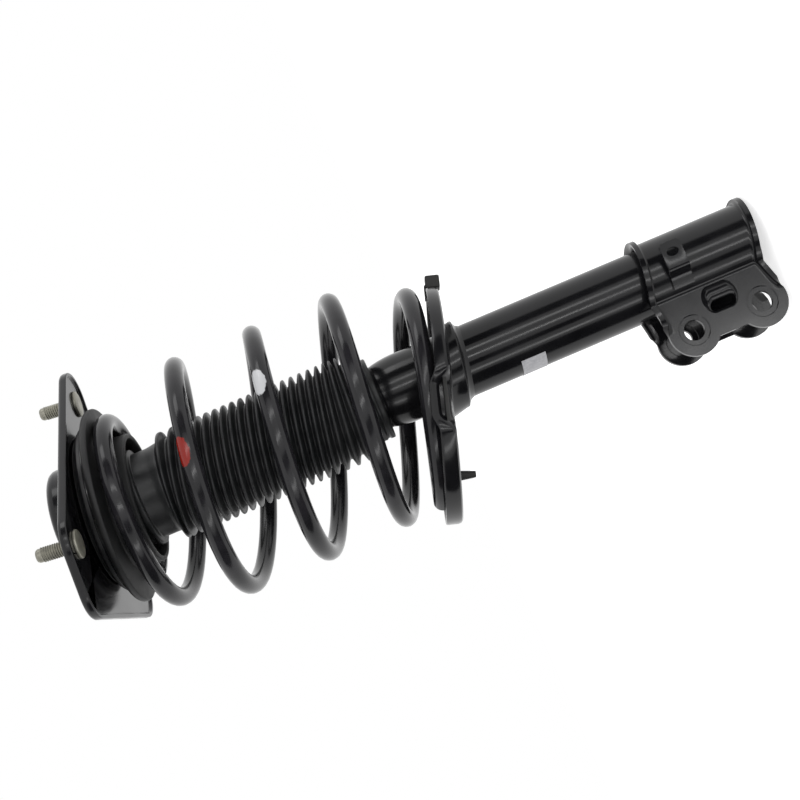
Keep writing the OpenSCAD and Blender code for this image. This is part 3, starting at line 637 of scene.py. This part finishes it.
heights = [item.value for item in gaiter.data.attributes["upright"].data]
stretch(gaiter, [min(1, max(0, (boot_neck - height) / (boot_neck - boot_cuff))) for height in heights])
gaiter.data.attributes.remove(gaiter.data.attributes["upright"])


# Coil spring: hot-coiled round spring steel, shot peened and powder coated. The wire winds in at the top,
# and its lower end rests in the bottom pad. Two dabs of paint mark its rate.
wire_r = 6.5
seat_depth = 254.5
seat_shift = 23
seat_tilt = math.radians(17)
mount_pivot = 39
coil_tilt = math.radians(12.5)
coil_d, coil_top_d, coil_low_d = 160, 107, 138
coil_shift = 5
turn_start, turn_end = -0.45, 4.45
turn_flat = turn_end + 0.1
lead_in, lead_out = 0.4, 0.9
pad_t = 2.5
floor_top = -1
wire_gap = 0.4
coil_high = (pad_low - wire_gap - wire_r - strut_x * math.sin(mount_tilt)) / math.cos(mount_tilt)
wire_rest = floor_top + pad_t + wire_gap + wire_r
coil_low = (wire_rest - seat_shift * math.sin(seat_tilt)) / math.cos(seat_tilt) - seat_depth
coil_top_x = mount_pivot * math.sin(mount_tilt) + coil_high * math.tan(mount_tilt)
coil_low_shift = seat_shift - 3
coil_pitch = (coil_high - coil_low) / (turn_flat - lead_out / 2 - lead_in / 2)


def smooth(value, low, high):
    """Rises from 0 to 1 between two values, with soft ends."""
    share = min(1, max(0, (value - low) / (high - low)))
    return share * share * (3 - 2 * share)


def ramp(value, width):
    """Nothing below zero, then bends over a width into a line that rises one for one."""
    return 0 if value <= 0 else value * value / (2 * width) if value < width else value - width / 2


def coil_level(turn):
    """Height of the wire where it crosses the coil's axis plane, before the coil leans."""
    return coil_high - coil_pitch * (ramp(turn, lead_in) - ramp(turn - turn_flat + lead_out, lead_out))


def coil_point(turn):
    """Middle of the wire at a number of turns from the top pad."""
    lean = (mount_tilt + (coil_tilt - mount_tilt) * smooth(turn, 0.1, 1)
            + (seat_tilt - coil_tilt) * smooth(turn, turn_end - 0.8, turn_end - 0.1))
    radius = (coil_d - (coil_d - coil_top_d) * (1 - smooth(turn, -0.2, 0.9))
              - (coil_d - coil_low_d) * smooth(turn, turn_end - 1.1, turn_end - 0.1)) / 2
    x = (coil_top_x - (coil_top_x + coil_shift) * smooth(turn, 0, 1.3)
         - (coil_low_shift - coil_shift) * smooth(turn, turn_end - 1, turn_end)
         + radius * math.cos(2 * math.pi * turn))
    return Vector((x, -radius * math.sin(2 * math.pi * turn), coil_level(turn) - x * math.tan(lean)))


def sweep(bm, path, radii, sides, up=Vector((0, 0, 1))):
    """Extrudes a round section along a path, and gives the rings of vertices."""
    rings = []
    last = len(path) - 1
    for i, point in enumerate(path):
        forward = (path[min(i + 1, last)] - path[max(i - 1, 0)]).normalized()
        outward = up.cross(forward).normalized()
        across = forward.cross(outward)
        matrix = Matrix((outward * radii[i], across * radii[i], forward)).transposed().to_4x4()
        matrix.translation = point
        if i == 0:
            ring = bmesh.ops.create_circle(bm, segments=sides, radius=1)["verts"]
            bmesh.ops.transform(bm, matrix=matrix, verts=ring)
            edges = list({e for v in ring for e in v.link_edges})
        else:
            made = bmesh.ops.extrude_edge_only(bm, edges=edges)["geom"]
            ring = [g for g in made if isinstance(g, bmesh.types.BMVert)]
            edges = [g for g in made if isinstance(g, bmesh.types.BMEdge) and set(g.verts) <= set(ring)]
            bmesh.ops.transform(bm, matrix=matrix @ before.inverted(), verts=ring)
        before = matrix
        rings.append(ring)
        if i in (0, last):
            bmesh.ops.contextual_create(bm, geom=edges)
    return rings


rings_in_turn = 56
ring_count = round((turn_end - turn_start) * rings_in_turn)
turns = [turn_start + (turn_end - turn_start) * i / ring_count for i in range(ring_count + 1)]
path = [coil_point(turn) for turn in turns]
chamfer = 1.0
first = (path[1] - path[0]).normalized()
final = (path[-1] - path[-2]).normalized()
path = [path[0], path[0] + first * chamfer, *path[1:-1], path[-1] - final * chamfer, path[-1]]
turns = [turns[0], turns[0], *turns[1:-1], turns[-1], turns[-1]]
radii = [wire_r - chamfer, *[wire_r] * (len(path) - 2), wire_r - chamfer]
bm = bmesh.new()
follow = bm.verts.layers.float.new("follow")
straight = bm.verts.layers.float_vector.new("straight_wire")
along = 0
for i, ring in enumerate(sweep(bm, path, radii, 24)):
    along += (path[i] - path[i - 1]).length if i else 0
    forward = (path[min(i + 1, len(path) - 1)] - path[max(i - 1, 0)]).normalized()
    outward = Vector((0, 0, 1)).cross(forward).normalized()
    for v in ring:
        arm = v.co - path[i]
        v[straight] = Vector((along, arm.dot(outward), arm.dot(forward.cross(outward)))) * MM
        v[follow] = (coil_high - coil_level(max(0, turns[i]))) / (coil_high - coil_level(turn_end))


def mark_length(turn):
    """Length of wire, in metres, from its top end to a number of turns."""
    steps = [coil_point(turn_start + (turn - turn_start) * i / 400) for i in range(401)]
    return sum((b - a).length for a, b in zip(steps, steps[1:])) * MM


# Paint marks: turn, offset round the wire, half length, half width and colour
rate_marks = [(2.184, 3.0, 9.0, 5.6, "#b4b5b7"), (1.23, 3.6, 9.5, 5.2, "#78160c")]


def powder_coat():
    """Black polyester powder coat over shot-peened wire, finely pebbled, with two brushed paint marks."""
    material, tree, shader, _ = new_material("powder_coat")
    spot = add(tree, "Attribute", attribute_name="straight_wire").outputs["Vector"]
    cloud_mm, brush_mm, pebble_mm = 14, 3, 1.1
    clouds = add(tree, "TexNoise", {"Vector": spot, "Scale": 1000 / cloud_mm, "Detail": 5})
    colour = add(tree, "ValToRGB", {"Fac": clouds.outputs["Fac"]},
                 stops=((0.35, "#141416"), (0.7, "#201f22")))
    paint = colour.outputs["Color"]
    brushed = add(tree, "TexNoise", {"Vector": spot, "Scale": 1000 / brush_mm, "Detail": 4})
    for turn, side_mm, half_length_mm, half_width_mm, shade in rate_marks:
        side = side_mm / wire_r
        middle = (mark_length(turn), wire_r * MM * math.cos(side), wire_r * MM * math.sin(side))
        away = add(tree, "VectorMath", {0: spot, 1: middle}, operation="SUBTRACT")
        away = add(tree, "VectorMath", {0: away.outputs["Vector"], 1: (
            1000 / half_length_mm, 1000 / half_width_mm, 1000 / half_width_mm)}, operation="MULTIPLY")
        away = add(tree, "VectorMath", {0: away.outputs["Vector"]}, operation="LENGTH")
        ragged = add(tree, "Math", {0: brushed.outputs["Fac"], 1: 0.5, 2: away.outputs["Value"]},
                     operation="MULTIPLY_ADD")
        mask = add(tree, "MapRange", {"Value": ragged.outputs["Value"], "From Min": 1.2, "From Max": 1.3,
                                      "To Min": 1, "To Max": 0})
        mixed = add(tree, "Mix", {"Factor": mask.outputs["Result"], "A": paint, "B": linear(shade)},
                    data_type="RGBA")
        paint = mixed.outputs["Result"]
    pebbles = add(tree, "TexNoise", {"Vector": spot, "Scale": 1000 / pebble_mm, "Detail": 2})
    bump = add(tree, "Bump", {"Height": pebbles.outputs["Fac"], "Strength": 0.25, "Distance": 0.02 * MM})
    feed(tree, shader, {"Base Color": paint, "Normal": bump.outputs["Normal"], "Roughness": 0.16,
                        "IOR": 1.42})
    return material


spring = make_piece(bm, "wound_spring", powder_coat(), strut_place, "spring_top",
                    ["coil_spring"])
stretch(spring, [item.value for item in spring.data.attributes["follow"].data])
spring.data.attributes.remove(spring.data.attributes["follow"])


# Damper tube: seamless drawn steel, rolled in at its top over the rod guide. It carries every lower bracket.
tube_r = 25
tube_low = -497
shoulder_r = 4
tube_wall = 2.3
lip_r = rod_r + 2
bm = bmesh.new()
turned(bm, [(lip_r, tube_top - 2.5, 0.4), (lip_r, tube_top, 0.8), (tube_r - shoulder_r, tube_top, 2.5),
            (tube_r, tube_top - 14, 9), (tube_r, tube_low, 0.5), (tube_r - tube_wall, tube_low, 0.5),
            (tube_r - tube_wall, tube_top - 2.5, 0.5)], steps=160)
make_piece(bm, "damper_tube", enamel, strut_place, "strut_body", ["strut_tube"])


# Tube cap: a pressed cap in the tube's end, dished inwards and seam welded round its edge.
cap_r = tube_r - tube_wall - fit_gap
bm = bmesh.new()
turned(bm, [(0, tube_low + 2.6, 0), (14, tube_low + 2.6, 2), (17, tube_low + 0.4, 1.5),
            (cap_r, tube_low + 0.4, 0.8), (cap_r, tube_low + 6, 0.4), (cap_r - 4.9, tube_low + 6, 0.4),
            (cap_r - 5.4, tube_low + 4.2, 1), (0, tube_low + 4.2, 0)])
make_piece(bm, "tube_cap", enamel, strut_place, "strut_body", ["tube_end_cap"])


# Lower spring seat: a pressed dish, set off the tube's axis and leaning with the spring. Its rim is taller
# under the knuckle side and is dented at a drain slot. Its neck is drawn down round the tube and welded.
seat_place = Matrix.Translation((strut_x - seat_shift, 0, -seat_depth)) @ Matrix.Rotation(seat_tilt, 4, "Y")
seat_r = 83
seat_t = 3
rim_low_side, rim_high_side = 4.5, 8
neck_out = 30.5
neck_end, neck_lean = -276.5, 0.17
slot_middle = math.radians(-94)
slot_half = math.radians(12)
around = [2 * math.pi * i / 240 for i in range(240)]


def seat_loop(bm, radius, height, top, inward, upward):
    """One loop round the dish. Top is 1 where it follows the rim's height. Inward and upward are its dent."""
    points = []
    for a in around:
        rise = rim_low_side + (rim_high_side - rim_low_side) * (1 - math.cos(a)) / 2
        off = abs((a - slot_middle + math.pi) % (2 * math.pi) - math.pi)
        pressed = 1 - smooth(off, slot_half - 0.1, slot_half + 0.05)
        reach = radius - inward * pressed
        points.append((reach * math.cos(a), reach * math.sin(a), height + top * rise + upward * pressed))
    return edge_loop(bm, points)


def neck_loop(bm, radius, height):
    """One loop round the neck, in the dish's own frame. Without a height it lies in the dish's floor."""
    back = seat_place.inverted() @ strut_place
    points = []
    for a in around:
        x, y = radius * math.cos(a), radius * math.sin(a)
        if height is None:
            level = back @ Vector((x, y, -seat_depth))
            slope = back @ Vector((x, y, -seat_depth - 1)) - level
            points.append(level + slope * ((level.z - floor_top) / -slope.z))
        else:
            points.append(back @ Vector((x, y, height - neck_lean * x)))
    return edge_loop(bm, points)


floor_low = floor_top - seat_t
bm = bmesh.new()
inner = neck_loop(bm, tube_r + fit_gap, None)
up_draw = neck_loop(bm, neck_out + 3, None)
inside = seat_r - seat_t
# Radius, height, share of the rim's rise, and the drain slot's dent inwards and upwards
rim_rows = [(inside - 3.5, floor_top, 0, 1.5, 1), (inside - 1.4, floor_top + 0.5, 0, 3.5, 3.5),
            (inside - 0.4, floor_top + 1.8, 0, 4, 6), (inside, floor_top + 3, 0, 4, 6.5),
            (inside, -1.2, 1, 3.5, 4.5), (inside + 0.4, -0.3, 1, 3.5, 4.5), (inside + 1.2, 0, 1, 3.5, 4.5),
            (seat_r - 1.2, 0, 1, 3.5, 4.5), (seat_r - 0.4, -0.3, 1, 3.5, 4.5), (seat_r, -1.2, 1, 3.5, 4.5),
            (seat_r, floor_top + 2.6, 0, 4.5, 7), (seat_r, floor_low + 3.2, 0, 5, 8),
            (seat_r - 0.7, floor_low + 1.2, 0, 5.5, 8), (seat_r - 2.2, floor_low + 0.2, 0, 6.5, 7.5),
            (seat_r - 4, floor_low, 0, 8, 5), (seat_r - 6.5, floor_low, 0, 7, 1.5)]
up = [seat_loop(bm, *row) for row in rim_rows]
down = []
for out, drop in ((7, 0), (3.2, 0.7), (1, 2.4)):
    down.append(neck_loop(bm, neck_out + out, None))
    bmesh.ops.translate(bm, verts=list({v for e in down[-1] for v in e.verts}), vec=(0, 0, -seat_t - drop))
neck = [neck_loop(bm, r, neck_end + h) for r, h in (
    (neck_out, 2.2), (neck_out, 1), (neck_out - 0.4, 0.2), (neck_out - 1.4, 0), (neck_out - 2.4, -0.6),
    (tube_r + 1.4, -1.8), (tube_r + 0.3, -4), (tube_r + fit_gap, -4.4))]
skin(bm, [inner, up_draw, *up, *down, *neck, inner])
make_piece(bm, "lower_seat_dish", enamel, seat_place, "strut_body", ["lower_spring_seat"])


# Lower spring pad: a moulded rubber ring in the dish.
# It is held by a nub through the dish's floor and by a lug over its rim.
pad_out = seat_r - seat_t - 0.3
pad_in = pad_out - 17
nub_x = seat_r - 33
nub_len = 12.5
nub_r = 3.5
bm = bmesh.new()
turned(bm, [(pad_in, floor_top, 0.5), (pad_in, floor_top + pad_t, 0.8),
            (pad_out - 0.2, floor_top + pad_t, 0.8), (pad_out - 3.6, floor_top, 0.5)], steps=160)
nub = bmesh.new()
turned(nub, [(0, floor_low - nub_len, 0), (nub_r - 1.2, floor_low - nub_len, 0.6),
             (nub_r, floor_low - 1, 0.5), (nub_r, floor_low + 0.2, 0), (nub_r - 0.1, floor_top, 0),
             (nub_r + 4, floor_top, 0), (nub_r + 4, floor_top + pad_t, 0.8), (0, floor_top + pad_t, 0)],
       steps=40)
bmesh.ops.translate(nub, verts=nub.verts, vec=(-nub_x, 0, 0))


def block(bm, low, high, rounding, segments=3):
    """Adds a box between two corners with all its edges rounded."""
    part = bmesh.new()
    bmesh.ops.create_cube(part, size=1)
    size = Vector(high) - Vector(low)
    bmesh.ops.scale(part, vec=size, verts=part.verts)
    bmesh.ops.translate(part, vec=(Vector(high) + Vector(low)) / 2, verts=part.verts)
    bmesh.ops.bevel(part, geom=part.edges, offset=rounding, offset_type="OFFSET", segments=segments,
                    profile=0.5, affect="EDGES", material=-1, clamp_overlap=True)
    add_part(bm, part)


add_part(bm, nub)
lug_w = 14
lug_out = 9.5
rim_top = floor_low + 8
block(bm, (-pad_in - 1, -nub_r - 4, floor_top + fit_gap),
      (-nub_x, nub_r + 4, floor_top + pad_t - fit_gap), 0.6)
block(bm, (pad_out - 3.2, -lug_w / 2, floor_top + 0.3), (pad_out - 0.1, lug_w / 2, rim_top + 1.4), 0.6)
block(bm, (pad_out - 3.2, 2 - lug_w / 2, rim_top + 0.1), (seat_r + 3, lug_w / 2 - 2, rim_top + 1.4), 0.6)
block(bm, (seat_r + 0.2, -lug_w / 2, floor_low - 2), (seat_r + lug_out, lug_w / 2, rim_top + 0.3), 1.2)
pad_rubber = moulded_rubber("pad_rubber", "#1b1b1a", "#2c2c2a", 0.5, 1.2, 0.05)
make_piece(bm, "lower_pad_ring", pad_rubber, seat_place, "strut_body",
           ["lower_spring_pad"])


# Knuckle bracket: one pressed steel sheet, wrapped round the tube's end and run out into two ears that take
# the knuckle's bolts. Its ends are rolled outwards, and it is welded to the tube.
sheet_t = 3.5
clamp_r = tube_r + 0.1 + sheet_t
ear_y = 22
hole_r = 7.25
coin_r = 11
coin_sunk = 0.4
ear_r = 18
ear_waist = 9
ear_run = 3.3
bolt_at = -45
bolt_high, bolt_low = -431, -482
flare_r = 5
turn_x = -math.sqrt((clamp_r + flare_r) ** 2 - (ear_y + flare_r) ** 2)
roll_out = 3.5
roll_r = 2
bend_line_x = -17
slope = math.tan(math.radians(11))
edge_high, edge_low = -412.5, -496.1
strip = 6
flat_places = (-38, -35, -29, -24)


def clamp_section():
    """Outer line of the sheet square to the tube, from ear to ear: each place and its outward way."""
    turn_at = math.atan2(-ear_y - flare_r, turn_x)
    middle = Vector((turn_x, -ear_y - flare_r))
    half = [(Vector((x, -ear_y)), Vector((0, -1))) for x in (bolt_at + ear_run, *flat_places)]
    for i in range(7):
        a = math.pi / 2 + (turn_at + math.pi / 2) * i / 6
        way = Vector((math.cos(a), math.sin(a)))
        half.append((middle + flare_r * way, -way))
    for i in range(1, 33):
        a = turn_at * (1 - i / 32)
        way = Vector((math.cos(a), math.sin(a)))
        half.append((clamp_r * way, way))
    return half + [(Vector((p.x, -p.y)), Vector((n.x, -n.y))) for p, n in reversed(half[:-1])]


def edge_height(x, end, lobe_z):
    """Height of the sheet's end: a leaning line round the tube, then straight out to the ear's lobe."""
    if x >= bend_line_x:
        return end - slope * x
    bend = end - slope * bend_line_x
    return bend + (lobe_z - bend) * (bend_line_x - x) / (bend_line_x - bolt_at - ear_run)


def chain(bm, points):
    """Open line of edges through the points."""
    verts = [bm.verts.new(p) for p in points]
    return [bm.edges.new(pair) for pair in zip(verts, verts[1:])]


def rolled_end(bm, end, lobe_z, down):
    """The sheet's rolled end, as chains from the flat sheet out to the roll's edge."""
    arc = [(roll_r * (1 - math.cos(a)), sheet_t + roll_r * (1 - math.sin(a)))
           for a in (0, 0.52, 1.05, math.pi / 2)]
    profile = [(0, strip), *arc, (roll_out, sheet_t)]
    rows = []
    for i, (out, into) in enumerate(profile):
        flat = strip * (1 - i / 5)
        points = []
        for place, way in clamp_section():
            fade = smooth(place.x, bolt_at + 4, bolt_at + 12)
            spot = place + way * out * fade
            height = edge_height(place.x, end, lobe_z) + down * (flat + (into - flat) * fade)
            points.append((spot.x, spot.y, height))
        rows.append(chain(bm, points))
    return rows


def ear_outline(side):
    """Free outline of an ear from its upper edge round both lobes to its lower edge."""
    points = []
    top = math.acos(ear_run / ear_r)
    waist = 2 * math.pi - math.acos(-ear_waist / ear_r) - 0.1
    for bolt_z, up in ((bolt_high, 1), (bolt_low, -1)):
        arc = [top + (waist - top) * i / 24 for i in range(25)]
        line = [(bolt_at + ear_r * math.cos(a), side * ear_y, bolt_z + up * ear_r * math.sin(a)) for a in arc]
        points += line[::up]
    return points


def flat_loop(bm, x, z, radius, side, out=0.0, length=0.0, lift=0.0, reach=None, count=40):
    """A round or long loop in the plane of an ear, that may rise out of it towards the tube."""
    points = []
    reach = reach or radius
    for i in range(count):
        a = 2 * math.pi * (i + 0.5) / count
        dx, dz = reach * math.cos(a), radius * math.sin(a)
        rise = out + lift * smooth(dx, -reach, reach)
        points.append((x + dx, side * (ear_y + rise), z + dz + math.copysign(length / 2, dz)))
    return edge_loop(bm, points)


lobe_edge = math.sqrt(ear_r ** 2 - ear_run ** 2)
bm = bmesh.new()
upper = rolled_end(bm, edge_high, bolt_high + lobe_edge, -1)
lower = rolled_end(bm, edge_low, bolt_low - lobe_edge, 1)
skin(bm, upper)
skin(bm, lower)
skin(bm, [upper[0][5:-5], lower[0][5:-5]])
slot_w, slot_len = 7.5, 19
slot_at = (bolt_at + 9.5, (bolt_high + bolt_low) / 2)
for side in (-1, 1):
    chain(bm, ear_outline(side))
    for bolt_z in (bolt_high, bolt_low):
        coin = ((coin_r, 0), (coin_r - 0.6, -coin_sunk), (hole_r, -coin_sunk))
        skin(bm, [flat_loop(bm, bolt_at, bolt_z, radius, side, out) for radius, out in coin])
# The near ear's slot, with its raised boss: radius, rise at its two sides, shift and reach towards the tube
boss = [(6.9, 0, 0, 5.1, 9.9), (6.4, 0.1, 0.8, 4.8, 9.3), (5.9, 0.4, 2.4, 4.2, 8.5),
        (5.4, 0.6, 3.4, 3.1, 7.3), (4.9, 0.7, 3.9, 1.9, 6), (4.3, 0.5, 3.7, 0.8, 4.75),
        (slot_w / 2, 0.3, 2.7, 0, slot_w / 2)]
skin(bm, [flat_loop(bm, slot_at[0] + shift, slot_at[1], radius, -1, out, slot_len - slot_w, lift, reach)
          for radius, out, lift, shift, reach in boss])
bmesh.ops.remove_doubles(bm, verts=bm.verts, dist=0.02)
for side in (-1, 1):
    rim = [e for e in bm.edges if len(e.link_faces) < 2 and all(
        abs(v.co.y - side * ear_y) < 0.01 and v.co.x < turn_x + 0.05 for v in e.verts)]
    flat = bmesh.ops.triangle_fill(bm, use_beauty=True, use_dissolve=False, edges=rim, normal=(0, side, 0))
    faces = [item for item in flat["geom"] if isinstance(item, bmesh.types.BMFace)]
    bmesh.ops.inset_region(bm, faces=faces, thickness=0.35, use_even_offset=True, use_boundary=True)
bracket = make_piece(bm, "knuckle_bracket_pressing", enamel, strut_place, "strut_body",
                     ["knuckle_bracket"])


def thicken(piece, thickness, rounding):
    """Gives a pressed sheet its thickness, inwards, and rounds its sheared edges."""
    wall = piece.modifiers.new("sheet", "SOLIDIFY")
    wall.thickness = thickness * MM
    wall.offset = -1
    wall.use_even_offset = True
    edges = piece.modifiers.new("edges", "BEVEL")
    edges.width = rounding * MM
    edges.segments = 2
    edges.limit_method = "ANGLE"
    edges.angle_limit = math.radians(50)
    edges.harden_normals = True


thicken(bracket, sheet_t, 0.5)


# Hose tab: a small bent strip welded to the clamp, with an oval hole for the brake hose's clip.
tab_z = -436.5
tab_half = 7.5
tab_t = 2.5
tab_y = clamp_r + 4.5 + tab_t
tab_hole_x, tab_hole_w, tab_hole_h = 9, 3.0, 4.4
tab_end = 17
tab_bend = -1
bm = bmesh.new()
leg = [(tab_bend, -tab_y), (-3, -tab_y + 0.5), (-4.5, -tab_y + 1.8), (-6, -tab_y + 4.2), (-7.5, -tab_y + 5.4),
       (-10, -tab_y + 6.2), (-15, -tab_y + 8.6)]
skin(bm, [chain(bm, [(x, y, tab_z + half) for x, y in leg]) for half in (tab_half, -tab_half)])
corner = 3
plate = [(tab_bend, -tab_half)]
for z, start in ((corner - tab_half, -0.5), (tab_half - corner, 0)):
    for i in range(7):
        a = math.pi * (start + i / 12)
        plate.append((tab_end - corner + corner * math.cos(a), z + corner * math.sin(a)))
plate.append((tab_bend, tab_half))
chain(bm, [(x, -tab_y, tab_z + z) for x, z in plate])
edge_loop(bm, [(tab_hole_x + tab_hole_w * x, -tab_y, tab_z + tab_hole_h * y)
               for x, y, _ in circle_points(1, 0, 32)])
bmesh.ops.remove_doubles(bm, verts=bm.verts, dist=0.02)
rim = [e for e in bm.edges if len(e.link_faces) < 2 and all(
    abs(v.co.y + tab_y) < 0.01 and v.co.x > tab_bend - 0.01 for v in e.verts)]
bmesh.ops.triangle_fill(bm, use_beauty=True, use_dissolve=False, edges=rim, normal=(0, -1, 0))
tab = make_piece(bm, "hose_tab", enamel, strut_place, "strut_body", ["hose_bracket"])
thicken(tab, tab_t, 0.4)


# Label: a plain paper label, stuck round the tube and left blank.
def coated_paper():
    """Coated paper: pale grey, faintly fibrous, with a soft sheen."""
    material, tree, shader, spot = new_material("coated_paper")
    fibre_mm = 2
    fibres = add(tree, "TexNoise", {"Vector": spot, "Scale": 1000 / fibre_mm, "Detail": 6})
    colour = add(tree, "ValToRGB", {"Fac": fibres.outputs["Fac"]},
                 stops=((0.3, "#97979b"), (0.7, "#b0b0b3")))
    feed(tree, shader, {"Base Color": colour.outputs["Color"], "Roughness": 0.4})
    return material


finish_node("blank_label", coated_paper())


# Stage: the strut stands on a plain pale floor in a white studio. Long strip lamps beside it draw straight
# bright lines down the round parts, and a broad soft lamp fills the shadows.
floor_z = cad_box[0].z / MM - 1
floor_half = 4000


def stage_piece(bm, name):
    """Makes an object of the stage from a mesh in millimetres."""
    bmesh.ops.scale(bm, verts=bm.verts, vec=(MM, MM, MM))
    mesh = bpy.data.meshes.new(name)
    bm.to_mesh(mesh)
    bm.free()
    item = bpy.data.objects.new(name, mesh)
    bpy.context.scene.collection.objects.link(item)
    item.visible_shadow = False
    return item


bm = bmesh.new()
bmesh.ops.create_grid(bm, x_segments=1, y_segments=1, size=floor_half)
bmesh.ops.translate(bm, verts=bm.verts, vec=(0, 0, floor_z))
studio_floor = stage_piece(bm, "floor")
studio_floor.visible_glossy = False


def seen_rays(tree):
    """1 for the rays that show the studio itself: to the camera, and in gloss and glass."""
    path = add(tree, "LightPath").outputs
    seen = add(tree, "Math", {0: path["Is Camera Ray"], 1: path["Is Glossy Ray"]}, operation="MAXIMUM")
    seen = add(tree, "Math", {0: seen.outputs["Value"], 1: path["Is Transmission Ray"]}, operation="MAXIMUM")
    return seen.outputs["Value"]


def painted_floor():
    """Matt white paint on a studio floor, lifted to the studio's white where it shows."""
    material, tree, shader, spot = new_material("matt_white_floor")
    patch_mm, glow = 400, 0.62
    patches = add(tree, "TexNoise", {"Vector": spot, "Scale": 1000 / patch_mm, "Detail": 2})
    colour = add(tree, "ValToRGB", {"Fac": patches.outputs["Fac"]}, stops=((0, "#e9e9e9"), (1, "#ececec")))
    lift = add(tree, "Math", {0: seen_rays(tree), 1: glow}, operation="MULTIPLY")
    feed(tree, shader, {"Base Color": colour.outputs["Color"], "Emission Strength": lift.outputs["Value"],
                        "Emission Color": (1, 1, 1, 1), "Roughness": 0.9})
    return material


studio_floor.data.materials.append(painted_floor())

# The studio is plain white where it shows, and lights the strut a little less than that.
world = bpy.data.worlds.new("studio")
bpy.context.scene.world = world
world.use_nodes = True
sky = world.node_tree
level = add(sky, "MapRange", {"Value": seen_rays(sky), "To Min": 0.95, "To Max": 1})
feed(sky, sky.nodes["Background"], {"Color": (1, 1, 1, 1), "Strength": level.outputs["Result"]})


def lamp(name, turn, distance, height, width, length, watts):
    """A soft rectangular lamp that faces the strut's axis, turned from the camera's side of the strut."""
    data = bpy.data.lights.new(name, "AREA")
    data.shape = "RECTANGLE"
    data.size = width * MM
    data.size_y = length * MM
    data.energy = watts
    away = camera_turn - math.pi / 2 + turn
    spot = Vector((strut_x + distance * math.cos(away), distance * math.sin(away), height)) * MM
    facing = Vector((math.cos(away), math.sin(away), 0))
    side = Vector((0, 0, 1)).cross(facing)
    item = bpy.data.objects.new(name, data)
    bpy.context.scene.collection.objects.link(item)
    item.matrix_world = Matrix.Translation(spot) @ Matrix((side, (0, 0, 1), facing)).transposed().to_4x4()
    item.visible_camera = False


strip_l, strip_at, strip_height = 1700, 1500, -280
for name, turn, width, watts in (("strip_near", 8.6, 70, 2.6), ("strip_right", 30, 130, 2.6),
                                 ("strip_left", -37, 130, 2.4)):
    lamp(name, math.radians(turn), strip_at, strip_height, width, strip_l, watts)
lamp("fill", math.radians(70), distance=2200, height=300, width=1200, length=1200, watts=9)


def flag(name, turn, distance, width):
    """A black card beside the strut that shows only in its gloss, where it gives the dark bands."""
    away = camera_turn - math.pi / 2 + turn
    side = Vector((-math.sin(away), math.cos(away), 0)) * width / 2
    middle = Vector((strut_x + distance * math.cos(away), distance * math.sin(away), 0))
    bm = bmesh.new()
    skin(bm, [chain(bm, [middle - side + Vector((0, 0, z)), middle + side + Vector((0, 0, z))])
              for z in (flag_high, flag_low)])
    card = stage_piece(bm, name)
    card.data.materials.append(black_card)
    card.visible_camera = False
    card.visible_diffuse = False


black_card, tree, shader, _ = new_material("black_card")
feed(tree, shader, {"Base Color": linear("#0a0a0a"), "Roughness": 1})
flag_high, flag_low = 900, -1400
for name, turn, distance, width in (("flag_left", -68, 1600, 1150), ("flag_near", -14, 1700, 420),
                                    ("flag_right", 55, 1700, 700)):
    flag(name, math.radians(turn), distance, width)

bpy.context.scene.view_settings.view_transform = "Standard"
